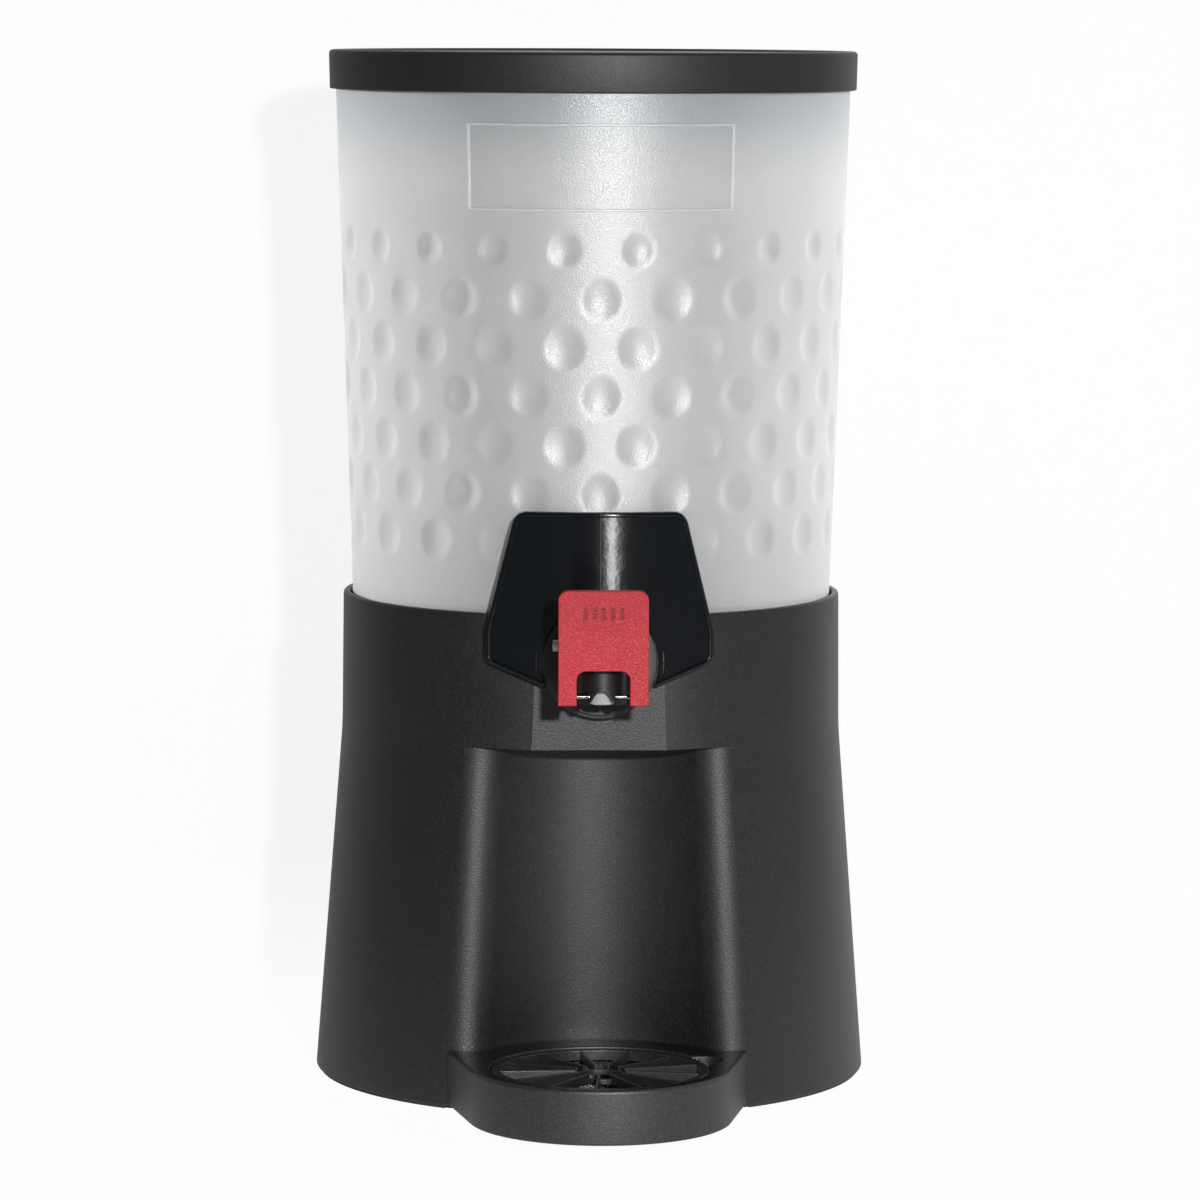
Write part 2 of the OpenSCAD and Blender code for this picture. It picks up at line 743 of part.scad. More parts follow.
// Coil spring between the crosshead and the bonnet
module return_spring() {
    rings = 12;
    sides = 8;
    n = spring_turns * rings;
    height = spring_len - 2 * spring_wire_r - 2 * run;
    centre = [for (i = [0 : n]) let (a = 360 * i / rings) [spring_r * cos(a), spring_r * sin(a), height * i / n]];
    outward = [for (i = [0 : n]) let (a = 360 * i / rings) [cos(a), sin(a), 0]];
    points = [for (i = [0 : n]) for (k = [0 : sides - 1]) let (b = 360 * k / sides)
        centre[i] + spring_wire_r * (cos(b) * outward[i] + sin(b) * [0, 0, 1])];
    skin = [for (i = [0 : n - 1]) for (k = [0 : sides - 1])
        let (m = (k + 1) % sides)
        let (p = i * sides)
        let (q = p + sides)
        each [[p + k, p + m, q + m], [p + k, q + m, q + k]]];
    first = [for (k = [sides - 1 : -1 : 0]) k];
    last = [for (k = [0 : sides - 1]) n * sides + k];
    color([0.7, 0.71, 0.72]) on_barrel(crosshead_top + spring_wire_r + run)
        polyhedron(points, concat([first, last], skin), convexity = 10);
}

// Stem: rod through the gland, a crosshead for the link pin and a guide for the spring
module valve_stem() {
    foot = seat_z - outlet_h + 3;
    color([0.72, 0.73, 0.74]) difference() {
        union() {
            on_barrel(foot) cylinder(r = stem_r, h = crosshead_top + 3 - foot);
            on_barrel(crosshead_z) cylinder(r = crosshead_r, h = crosshead_h);
        }
        across(barrel_set, link_z) cylinder(r = link_r + run, h = 4 * crosshead_r, center = true);
    }
}

// Seat cup: silicone plug that closes the outlet, with a nose that shows in the spout's arch
module seat_cup() {
    skirt_r = chamber_r - 0.5;
    nose_z = mouth_z - 0.3;
    skirt_t = 1.6;
    color([0.4, 0.39, 0.38]) on_barrel(0) difference() {
        rotate_extrude() polygon([
            [0, nose_z], [nose_r - 0.5, nose_z], [nose_r, nose_z + 0.5], [nose_r, seat_z],
            [skirt_r, seat_z], [skirt_r, seat_z + skirt_t], [stem_r + 1, seat_z + 4], [0, seat_z + 4]
        ]);
        translate([0, 0, seat_z - outlet_h + 3]) cylinder(r = stem_r + run, h = far);
    }
}

// Link pin: joins the lever's webs to the crosshead, with a head on the left
module link_pin() {
    tail = web_out + 2.2;
    color([0.75, 0.76, 0.77]) difference() {
        union() {
            translate([-web_out - beside, 0, 0]) across(barrel_set, link_z)
                cylinder(r = link_r, h = web_out + beside + tail);
            translate([-web_out - beside - link_head_t, 0, 0]) across(barrel_set, link_z)
                cylinder(r = link_head_r, h = link_head_t);
        }
        translate([web_out + beside, 0, 0]) across(barrel_set, link_z) difference() {
            cylinder(r = 2 * link_r, h = 0.8);
            cylinder(r = link_r * 0.7, h = 0.8);
        }
    }
}

// Clip in the groove at the link pin's far end
module pin_clip() {
    color([0.7, 0.71, 0.72]) translate([web_out + beside + 0.05, 0, 0]) across(barrel_set, link_z) difference() {
        cylinder(r = link_head_r, h = 0.7);
        translate([0, 0, -over]) cylinder(r = link_r * 0.7 + run, h = 3 * over);
        translate([0, -link_r * 0.7, -over]) cube([far, link_r * 1.4, 3 * over]);
    }
}

// Side view of one lever web, drawn with distance from the axis and height
module web_outline() {
    translate([pivot_y, pivot_z]) circle(r = pivot_rise);
    translate([pivot_y, lever_foot]) square([lever_back - pivot_y + over, 2 * pivot_rise]);
    translate([pivot_y - pivot_rise, pivot_z]) square([lever_back - pivot_y + pivot_rise + over, link_up + arm_r]);
    translate([barrel_set - slot_travel, link_z - arm_r])
        square([pivot_y - barrel_set + slot_travel - pivot_rise + over, 2 * arm_r]);
    translate([barrel_set - slot_travel, link_z]) circle(r = arm_r);
}

// Slot for the link pin in a lever web, drawn like the web
module web_slot() {
    r = link_r + slot_room;
    translate([barrel_set, link_z]) circle(r = r);
    translate([barrel_set - slot_travel, link_z - r]) square([slot_travel, 2 * r]);
    translate([barrel_set - slot_travel, link_z]) circle(r = r);
}

// Front view of the lever's plate
module lever_outline() {
    w = lever_w;
    r = lever_corner_r;
    top = lever_foot + lever_h;
    difference() {
        union() {
            translate([-w, lever_foot]) square([2 * w, lever_h - r]);
            translate([-w + r, top - 2 * r]) square([2 * (w - r), 2 * r]);
            for (side = [-1, 1]) translate([side * (w - r), top - r]) circle(r = r);
        }
        translate([-notch_w, lever_foot - over]) square([2 * notch_w, notch_h - notch_r + over]);
        translate([-notch_w + notch_r, lever_foot - over]) square([2 * (notch_w - notch_r), notch_h + over]);
        for (side = [-1, 1]) translate([side * (notch_w - notch_r), lever_foot + notch_h - notch_r]) circle(r = notch_r);
    }
}

// Lever: plate with grip bars and two webs that carry the pivot holes and the link slots
module tap_lever() {
    bar_w = 1.6;
    bar_h = 5;
    bar_pitch = 3.6;
    bar_drop = 6.5;
    bar_depth = 0.6;
    front = lever_back + lever_t;
    color([0.72, 0.13, 0.16]) difference() {
        union() {
            face_on(lever_back, lever_t) lever_outline();
            for (x = [-web_out, web_in])
                translate([x, 0, 0]) rotate([90, 0, -90]) mirror([0, 0, 1]) linear_extrude(web_t) web_outline();
        }
        across(pivot_y, pivot_z) cylinder(r = pivot_r + run, h = 2 * web_out + over, center = true);
        for (x = [-web_out, web_in])
            translate([x - over, 0, 0]) rotate([90, 0, -90]) mirror([0, 0, 1]) linear_extrude(web_t + 2 * over) web_slot();
        for (i = [0 : grip_bars - 1])
            translate([(i - (grip_bars - 1) / 2) * bar_pitch - bar_w / 2, -front - over, lever_foot + lever_h - bar_drop - bar_h])
                cube([bar_w, bar_depth + over, bar_h]);
    }
}

// Two stub pins in the spout's sides, which the lever turns on
module pivot_pins() {
    inner = arch_w - 0.6;
    outer = web_out - 0.3;
    color([0.75, 0.76, 0.77]) for (side = [-1, 1])
        translate([side * (inner + outer) / 2, 0, 0]) across(pivot_y, pivot_z)
            cylinder(r = pivot_r, h = outer - inner, center = true);
}

// Plan of the tray: a round front, sides that run to the base, and a back that follows the niche
module tray_plan() {
    r = flare_r(tray_top);
    p = lip_centre(r);
    corner = p * (r - tray_gap) / norm(p);
    c = [0, -front_centre];
    to_corner = corner - c;
    side = atan2(to_corner[1], to_corner[0]) - acos(tray_front_r / norm(to_corner));
    touch = at(c, tray_front_r, side);
    translate(c) circle(r = tray_front_r);
    polygon(concat([corner, touch], mirrored([corner, touch])));
    intersection() {
        translate([0, -niche_set]) circle(r = niche_r - tray_gap);
        translate([-corner[0], corner[1]]) square([2 * corner[0], niche_r]);
    }
}

// Leaning post that takes in the base's right lip, grown by the tray's gap
module lip_post() {
    low = lip_centre(flare_r(-over));
    lean = lip_centre(flare_r(tray_top + over)) - low;
    rise = tray_top + 2 * over;
    reach = norm([lean[0], lean[1], rise]);
    translate([low[0], low[1], -over]) rotate([0, acos(rise / reach), atan2(lean[1], lean[0])])
        cylinder(r = lip_r + tray_gap, h = reach);
}

// Drip tray: basin with a ledge for the grille, a finger notch and a tongue at the back
module drip_tray() {
    back = niche_set - niche_r + tray_gap;
    color([0.15, 0.15, 0.16]) difference() {
        union() {
            translate([0, 0, tray_lift]) linear_extrude(tray_h) tray_plan();
            translate([-tongue_w, -back - over, tongue_z]) cube([2 * tongue_w, tongue_len + over, tongue_t]);
        }
        for (side = [0, 1]) mirror([side, 0, 0]) lip_post();
        translate([0, -tray_centre, ledge_z]) cylinder(r = well_r, h = tray_h);
        translate([0, -tray_centre, tray_lift + tray_floor]) cylinder(r = well_r - ledge_w, h = tray_h);
        translate([0, -tray_centre, ledge_z]) rotate([0, 0, finger_angle]) translate([well_r, 0, 0])
            cylinder(r = finger_r, h = tray_h);
    }
}

// Drip grille: ring, radial blades and an open hub
module drip_grille() {
    hub_w = 1.8;
    phase = 16;
    color([0.07, 0.07, 0.08]) translate([0, -tray_centre, ledge_z]) {
        difference() {
            cylinder(r = grille_r, h = grille_h);
            translate([0, 0, -over]) cylinder(r = grille_r - ring_w, h = grille_h + 2 * over);
        }
        difference() {
            cylinder(r = hub_r + hub_w, h = grille_h / 2);
            translate([0, 0, -over]) cylinder(r = hub_r, h = grille_h + 2 * over);
        }
        for (i = [0 : blade_count - 1]) rotate([0, 0, phase + i * 360 / blade_count])
            translate([hub_r + hub_w / 4, -blade_t / 2, 0]) cube([grille_r - ring_w / 2 - hub_r - hub_w / 4, blade_t, grille_h - 0.4]);
    }
}

base_housing();
foot_ring();
container();
lid();
tap_shield();
tap_collar();
tap_body();
outer_gasket();
inner_gasket();
shank_nut();
stem_gland();
stem_ring();
bonnet();
return_spring();
valve_stem();
seat_cup();
link_pin();
pin_clip();
tap_lever();
pivot_pins();
drip_tray();
drip_grille();
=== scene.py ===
import logging
import math
from collections.abc import Callable, Sequence
from dataclasses import dataclass
from enum import Enum

import bmesh
import bpy
from mathutils import Matrix, Vector


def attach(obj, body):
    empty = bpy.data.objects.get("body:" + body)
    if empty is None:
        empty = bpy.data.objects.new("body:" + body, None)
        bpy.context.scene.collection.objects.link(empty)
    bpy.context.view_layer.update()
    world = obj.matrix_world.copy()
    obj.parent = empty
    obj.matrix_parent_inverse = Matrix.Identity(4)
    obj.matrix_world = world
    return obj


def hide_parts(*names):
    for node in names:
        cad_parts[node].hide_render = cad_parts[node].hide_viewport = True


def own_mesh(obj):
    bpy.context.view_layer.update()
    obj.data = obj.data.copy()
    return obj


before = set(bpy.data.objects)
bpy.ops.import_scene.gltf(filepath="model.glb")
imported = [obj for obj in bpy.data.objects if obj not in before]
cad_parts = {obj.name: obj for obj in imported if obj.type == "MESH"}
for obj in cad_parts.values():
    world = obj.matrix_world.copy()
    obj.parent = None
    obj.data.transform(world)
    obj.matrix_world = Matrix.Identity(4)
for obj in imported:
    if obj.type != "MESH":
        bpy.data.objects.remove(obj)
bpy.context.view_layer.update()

LOG = logging.getLogger("juice_dispenser")
MM = 0.001
MERGE_MM = 0.002
SHARP_DEGREES = 32.0
FLAT_DEGREES = 0.4
FULL_TURN = 360.0
MIX_COLOURS = (6, 7)
MIX_RESULT = 2
OCTAVE_FALL = 0.55
UPRIGHT_GLOSS = 0.25
Point = tuple[float, float]
Colour = tuple[float, float, float]


class Body(Enum):
    """Rigid bodies that a piece can ride on."""

    BASE = "base"
    VESSEL = "vessel"
    COVER = "cover"
    LEVER = "lever"
    STEM = "stem"
    TRAY = "tray"
    GRILLE = "grille"


class Wire:
    """A shader socket that Python's operators can work on."""

    def __init__(self, recipe: "Recipe", socket: bpy.types.NodeSocket) -> None:
        """Keep the recipe that owns the socket, and the socket."""
        self.recipe = recipe
        self.socket = socket

    def _math(self, operation: str, a: "Wire | float", b: "Wire | float") -> "Wire":
        """Result of one Math node."""
        return self.recipe.out("ShaderNodeMath", {"operation": operation}, {0: a, 1: b})

    def __add__(self, other: "Wire | float") -> "Wire":
        """Sum of the two values."""
        return self._math("ADD", self, other)

    def __radd__(self, other: float) -> "Wire":
        """Sum, with the number first."""
        return self._math("ADD", other, self)

    def __sub__(self, other: "Wire | float") -> "Wire":
        """Difference of the two values."""
        return self._math("SUBTRACT", self, other)

    def __rsub__(self, other: float) -> "Wire":
        """Difference, with the number first."""
        return self._math("SUBTRACT", other, self)

    def __mul__(self, other: "Wire | float") -> "Wire":
        """Product of the two values."""
        return self._math("MULTIPLY", self, other)

    def __rmul__(self, other: float) -> "Wire":
        """Product, with the number first."""
        return self._math("MULTIPLY", other, self)

    def __gt__(self, other: "Wire | float") -> "Wire":
        """One where the value is greater, and zero elsewhere."""
        return self._math("GREATER_THAN", self, other)

    def __lt__(self, other: "Wire | float") -> "Wire":
        """One where the value is less, and zero elsewhere."""
        return self._math("LESS_THAN", self, other)

    def size(self) -> "Wire":
        """Absolute value."""
        return self._math("ABSOLUTE", self, 0.0)


class Recipe:
    """The node tree of one finish."""

    def __init__(self, name: str) -> None:
        """Start an empty material.

        Args:
            name: The material's name.
        """
        self.material = bpy.data.materials.new(name)
        self.material.use_nodes = True
        self.tree = self.material.node_tree
        self.tree.nodes.clear()

    def node(self, kind: str, settings: dict | None = None, sockets: dict | None = None) -> bpy.types.Node:
        """Add a node.

        Args:
            kind: The node's type.
            settings: Properties of the node, set first; "stops" fills a colour ramp.
            sockets: Values or wires for its inputs, by name or number.

        Returns:
            The new node.
        """
        node = self.tree.nodes.new(kind)
        for key, value in (settings or {}).items():
            if key == "stops":
                ramp = node.color_ramp
                while len(ramp.elements) < len(value):
                    ramp.elements.new(0.5)
                for element, (place, colour) in zip(ramp.elements, value):
                    element.position = place
                    element.color = colour
            else:
                setattr(node, key, value)
        for key, value in (sockets or {}).items():
            if isinstance(value, Wire):
                self.tree.links.new(value.socket, node.inputs[key])
            else:
                node.inputs[key].default_value = value
        return node

    def out(
        self, kind: str, settings: dict | None = None, sockets: dict | None = None, key: int | str = 0
    ) -> Wire:
        """Add a node and take one of its outputs, by name or number."""
        return Wire(self, self.node(kind, settings, sockets).outputs[key])

    def place(self) -> Wire:
        """Object coordinates, in metres."""
        return self.out("ShaderNodeTexCoord", key="Object")

    def along(self, axis: str) -> Wire:
        """One coordinate of the place, X, Y or Z."""
        return self.out("ShaderNodeSeparateXYZ", None, {0: self.place()}, axis)

    def grain(self, size_mm: float, detail: float = 2.0, stretch: Colour = (1.0, 1.0, 1.0)) -> Wire:
        """Noise whose spots are about one size.

        Args:
            size_mm: The size of a spot.
            detail: The octaves of finer noise.
            stretch: Factors on the three axes, below 1 for longer spots.

        Returns:
            The noise, from 0 to 1.
        """
        place = self.out("ShaderNodeMapping", None, {"Vector": self.place(), "Scale": stretch})
        sockets = {"Vector": place, "Scale": 1.0 / (size_mm * MM), "Detail": detail, "Roughness": OCTAVE_FALL}
        return self.out("ShaderNodeTexNoise", None, sockets)

    def shade(self, wire: Wire, low: Colour, high: Colour, start: float = 0.3, end: float = 0.7) -> Wire:
        """Colour between two, by a value that goes from start to end."""
        stops = [(start, (*low, 1.0)), (end, (*high, 1.0))]
        return self.out("ShaderNodeValToRGB", {"stops": stops}, {0: wire})

    def ramp(self, wire: Wire, start: float, end: float) -> Wire:
        """Soft step of a value: nought before the start and one behind the end."""
        sockets = {"Value": wire, "From Min": start, "From Max": end}
        return self.out("ShaderNodeMapRange", {"interpolation_type": "SMOOTHSTEP"}, sockets)

    def mix(self, factor: Wire | float, a: Wire | Colour, b: Wire | Colour) -> Wire:
        """Mix two colours.

        Args:
            factor: The share of the second colour.
            a: The first colour.
            b: The second colour.

        Returns:
            The mixed colour.
        """
        sockets = {"Factor": factor}
        for key, colour in zip(MIX_COLOURS, (a, b)):
            sockets[key] = colour if isinstance(colour, Wire) else (*colour, 1.0)
        return self.out("ShaderNodeMix", {"data_type": "RGBA"}, sockets, MIX_RESULT)

    def bump(self, height: Wire, depth_mm: float, strength: float) -> Wire:
        """Normal of a surface with a height of this full depth on it."""
        sockets = {"Strength": strength, "Distance": depth_mm * MM, "Height": height}
        return self.out("ShaderNodeBump", None, sockets)

    def surface(self, sockets: dict) -> bpy.types.Material:
        """Finish the tree with a Principled shader.

        Args:
            sockets: Values or wires of the shader's inputs.

        Returns:
            The material.
        """
        shader = self.out("ShaderNodeBsdfPrincipled", None, sockets)
        self.node("ShaderNodeOutputMaterial", None, {"Surface": shader})
        return self.material


def tinted(colour: Colour, factor: float, lift: float = 0.0) -> Colour:
    """A colour made lighter or darker by a factor, then lifted."""
    return tuple(min(1.0, c * factor + lift) for c in colour)


@dataclass(frozen=True)
class Finish:
    """A finish by its name; each kind fills a recipe in its own way."""

    name: str

    def material(self) -> bpy.types.Material:
        """The finish as a material, made once."""
        return bpy.data.materials.get(self.name) or self.fill(Recipe(self.name))

    def fill(self, recipe: Recipe) -> bpy.types.Material:
        """Fill an empty recipe; each kind says how."""
        raise NotImplementedError(self.name)


@dataclass(frozen=True)
class GrainedPlastic(Finish):
    """Moulded plastic with a fine eroded grain, and sparse painted glints in its colour."""

    colour: Colour
    roughness: float
    grain_mm: float = 0.55
    depth_mm: float = 0.22
    strength: float = 0.6
    mottle: float = 0.18
    gloss: float = 0.5
    # painted glints: colour added at sparse specks, standing in for the grain's sparkle in the light
    painted_glint: Colour = (0.0, 0.0, 0.0)
    broad_mm: float = 26.0
    broad_share: float = 0.3
    glint_size: float = 0.9
    glint_step: Point = (0.56, 0.72)
    fine_rough: float = 0.14
    broad_rough: float = 0.08

    def fill(self, recipe: Recipe) -> bpy.types.Material:
        """Grain in the normal and the gloss, a faint mottle and sparse painted glints in the colour.

        Args:
            recipe: The empty recipe.

        Returns:
            The material.
        """
        fine = recipe.grain(self.grain_mm, 3.0)
        broad = recipe.grain(self.broad_mm, 2.0)
        blend = fine * (1.0 - self.broad_share) + broad * self.broad_share
        deep, pale = (tinted(self.colour, 1.0 + sign * self.mottle) for sign in (-1.0, 1.0))
        # painted glints: sparse specks made brighter in the colour
        glint_mask = recipe.ramp(recipe.grain(self.grain_mm * self.glint_size, 1.0), *self.glint_step)
        glint_colour = tuple(c + f for c, f in zip(self.colour, self.painted_glint))
        even = self.roughness - (self.fine_rough + self.broad_rough) / 2.0
        rough = fine * self.fine_rough + broad * self.broad_rough + even
        return recipe.surface({
            "Base Color": self.with_painted_shade(recipe, recipe.mix(glint_mask, recipe.shade(blend, deep, pale), glint_colour)),
            "Roughness": self.polished(recipe, rough),
            "Normal": recipe.bump(fine, self.depth_mm, self.strength),
            "Specular IOR Level": self.gloss,
        })

    def with_painted_shade(self, recipe: Recipe, colour: Wire) -> Wire:
        """Colour with the painted shade of this finish, none here."""
        return colour

    def polished(self, recipe: Recipe, rough: Wire) -> Wire:
        """Roughness with the smoother places of this finish, none here."""
        return rough


@dataclass(frozen=True)
class GripPlastic(GrainedPlastic):
    """Grained plastic of the lever, with painted shade in its sunk grip bars and a little towards its top."""

    face_y: float = -144.7
    bar_depth: float = 0.6
    bar_low: float = 204.5
    bar_high: float = 209.5
    bars_half: float = 8.2
    sunk_share: float = 0.55
    bar_reach: float = 1.02
    # painted shade: darker colour in the grip bars and towards the lever's top
    bar_painted_shade: float = 0.6
    top_painted_shade: float = 0.8
    top_painted_share: float = 0.4
    below_bars: float = 10.0
    above_bars: float = 2.0

    def with_painted_shade(self, recipe: Recipe, colour: Wire) -> Wire:
        """Colour with painted shade in the grip bars and towards the top.

        Args:
            recipe: The recipe in the making.
            colour: The plain colour.

        Returns:
            The colour with the bars.
        """
        middle = (self.bar_low + self.bar_high) / 2.0 * MM
        reach = (self.bar_high - self.bar_low) / 2.0 * MM
        floor = (self.face_y + self.bar_depth) * MM
        sunk = (recipe.along("Y") - floor).size() < self.sunk_share * self.bar_depth * MM
        level = (recipe.along("Z") - middle).size() < reach * self.bar_reach
        within = recipe.along("X").size() < self.bars_half * MM
        low, high = (self.bar_low - self.below_bars) * MM, (self.bar_high + self.above_bars) * MM
        rise = recipe.ramp(recipe.along("Z"), low, high)
        # painted shade, growing towards the top of the lever
        colour = recipe.mix(rise * self.top_painted_share, colour, tinted(self.colour, self.top_painted_shade))
        # painted shadow in the sunk floors of the grip bars
        return recipe.mix(sunk * level * within, colour, tinted(self.colour, self.bar_painted_shade))


@dataclass(frozen=True)
class WellPlastic(GrainedPlastic):
    """Grained plastic of the tray, smoother on its flat top and inside its recess, with painted shade there: darker on
    the flat top and black inside.
    """

    well_back: float = 132.3
    recess_r: float = 47.0
    recess_top: float = 23.0
    flat_top: float = 23.95
    polish: float = 0.2
    # painted shade: a darker flat top and a black recess and well
    flat_painted_shade: float = 0.5
    well_painted_shadow: Colour = (0.0015, 0.0015, 0.0016)

    def inside(self, recipe: Recipe) -> Wire:
        """Where the recess and the well are.

        Args:
            recipe: The recipe in the making.

        Returns:
            One there, and nought elsewhere.
        """
        x, y = recipe.along("X"), recipe.along("Y") + self.well_back * MM
        within = x * x + y * y < (self.recess_r * MM) ** 2
        return within * (recipe.along("Z") < self.recess_top * MM)

    def flat(self, recipe: Recipe) -> Wire:
        """One on the flat top, and nought elsewhere."""
        return recipe.along("Z") > self.flat_top * MM

    def polished(self, recipe: Recipe, rough: Wire) -> Wire:
        """Roughness, less on the flat top and inside."""
        return rough - (self.inside(recipe) + self.flat(recipe)) * self.polish

    def with_painted_shade(self, recipe: Recipe, colour: Wire) -> Wire:
        """Colour with painted shade: darker on the flat top and black inside."""
        # painted shade on the flat top
        colour = recipe.mix(self.flat(recipe), colour, tinted(self.colour, self.flat_painted_shade))
        # painted shadow, black, inside the recess and the well
        return recipe.mix(self.inside(recipe), colour, self.well_painted_shadow)


@dataclass(frozen=True)
class FrostedPlastic(Finish):
    """Milky frosted plastic with painted shade: darker towards its foot, where it stands in the dark base, and towards
    its top under the lid.
    """

    name: str = "frosted_wall"
    colour: Colour = (0.468, 0.473, 0.476)
    # painted shade: darker colours at the foot and at the top, faded in by height
    foot_shade_colour: Colour = (0.420, 0.425, 0.430)
    top_shade_colour: Colour = (0.295, 0.318, 0.335)
    roughness: float = 0.42
    frost_mm: float = 0.6
    cloud_mm: float = 34.0
    cloud_share: float = 0.8
    cloud_tint: float = 1.05
    foot_shade_fade: Point = (0.198, 0.262)
    top_shade_fade: Point = (0.372, 0.416)
    frost_step: Point = (0.45, 0.62)
    duller: float = 0.06
    brighter: float = 0.16

    def fill(self, recipe: Recipe) -> bpy.types.Material:
        """Frost in the normal and the gloss, clouds in the colour, and painted shade at the foot and the top.

        Args:
            recipe: The empty recipe.

        Returns:
            The material.
        """
        frost = recipe.grain(self.frost_mm, 2.0)
        cloud = recipe.grain(self.cloud_mm, 2.0)
        blend = cloud * self.cloud_share + frost * (1.0 - self.cloud_share)
        milk = recipe.shade(blend, self.colour, tinted(self.colour, self.cloud_tint))
        # painted shade: darker towards the foot, in the dark base
        colour = recipe.mix(recipe.ramp(recipe.along("Z"), *self.foot_shade_fade), self.foot_shade_colour, milk)
        # painted shade: darker towards the top, under the lid
        colour = recipe.mix(recipe.ramp(recipe.along("Z"), *self.top_shade_fade), colour, self.top_shade_colour)
        return recipe.surface({
            "Base Color": colour,
            "Roughness": self.roughness + self.duller - recipe.ramp(frost, *self.frost_step) * self.brighter,
            "Normal": recipe.bump(frost, depth_mm=0.17, strength=0.9),
            "Specular IOR Level": 1.0,
            "IOR": 1.68,
            "Anisotropic": 0.8,
            "Anisotropic Rotation": UPRIGHT_GLOSS,
            "Subsurface Weight": 0.2,
            "Subsurface Radius": (1.0, 1.0, 1.0),
            "Subsurface Scale": 0.003,
        })


@dataclass(frozen=True)
class GlossPlastic(Finish):
    """Polished plastic whose gloss runs upright, with a faint smear and a mould line along its middle."""

    colour: Colour
    roughness: float
    line: bool = False
    drawn: float = 1.0
    shine: float = 0.38
    smear_mm: float = 9.0
    smear_stretch: Colour = (1.0, 1.0, 0.35)
    smear_rough: float = 0.16
    dust_mm: float = 0.7
    dust_above: float = 0.76
    dust_share: float = 0.5
    dust_tint: float = 1.3
    dust_lift: float = 0.004
    dust_rough: float = 0.12
    wave_mm: float = 6.0
    wave_share: float = 0.7
    line_step: Point = (0.1, 0.28)
    line_share: float = 0.5
    line_lift: float = 0.05

    def fill(self, recipe: Recipe) -> bpy.types.Material:
        """Smears and dust in the gloss, slight waves and the mould line in the normal.

        Args:
            recipe: The empty recipe.

        Returns:
            The material.
        """
        smear = recipe.grain(self.smear_mm, 4.0, self.smear_stretch)
        dust = recipe.grain(self.dust_mm, 1.0) > self.dust_above
        height = recipe.grain(self.wave_mm, 3.0) * self.wave_share
        pale = tinted(self.colour, self.dust_tint, self.dust_lift)
        colour = recipe.mix(dust * self.dust_share, self.colour, pale)
        if self.line:
            beside = recipe.ramp(recipe.along("X").size(), *(edge * MM for edge in self.line_step))
            height = height - beside * self.line_share
            colour = recipe.mix(beside, tinted(self.colour, 1.0, self.line_lift), colour)
        even = self.roughness - self.smear_rough / 2.0
        return recipe.surface({
            "Base Color": colour,
            "Roughness": smear * self.smear_rough + dust * self.dust_rough + even,
            "Normal": recipe.bump(height, depth_mm=0.1, strength=0.9),
            "Specular IOR Level": self.shine,
            "Anisotropic": self.drawn,
            "Anisotropic Rotation": UPRIGHT_GLOSS,
        })


@dataclass(frozen=True)
class DrawnSteel(Finish):
    """Drawn metal with fine lines along the pins: bright steel, or duller zinc."""

    name: str = "drawn_steel"
    colour: Colour = (0.27, 0.28, 0.285)
    roughness: float = 0.15
    metal: float = 1.0
    line_mm: float = 0.25
    line_stretch: Colour = (0.05, 1.0, 1.0)
    line_tint: float = 1.12
    line_rough: float = 0.18

    def fill(self, recipe: Recipe) -> bpy.types.Material:
        """Lines along X in the gloss and the normal.

        Args:
            recipe: The empty recipe.

        Returns:
            The material.
        """
        lines = recipe.grain(self.line_mm, 2.0, self.line_stretch)
        return recipe.surface({
            "Base Color": recipe.shade(lines, self.colour, tinted(self.colour, self.line_tint)),
            "Roughness": lines * self.line_rough + (self.roughness - self.line_rough / 2.0),
            "Metallic": self.metal,
            "Normal": recipe.bump(lines, depth_mm=0.02, strength=0.3),
        })


@dataclass(frozen=True)
class SoftRubber(Finish):
    """Rubber or silicone, dull and even."""

    colour: Colour
    roughness: float = 0.62
    bloom_mm: float = 2.4
    bloom_tint: float = 1.2
    bloom_lift: float = 0.004
    bloom_rough: float = 0.16

    def fill(self, recipe: Recipe) -> bpy.types.Material:
        """Dull bloom in the colour and the gloss.

        Args:
            recipe: The empty recipe.

        Returns:
            The material.
        """
        bloom = recipe.grain(self.bloom_mm, 3.0)
        return recipe.surface({
            "Base Color": recipe.shade(bloom, self.colour, tinted(self.colour, self.bloom_tint, self.bloom_lift)),
            "Roughness": bloom * self.bloom_rough + (self.roughness - self.bloom_rough / 2.0),
            "Normal": recipe.bump(bloom, depth_mm=0.03, strength=0.3),
        })


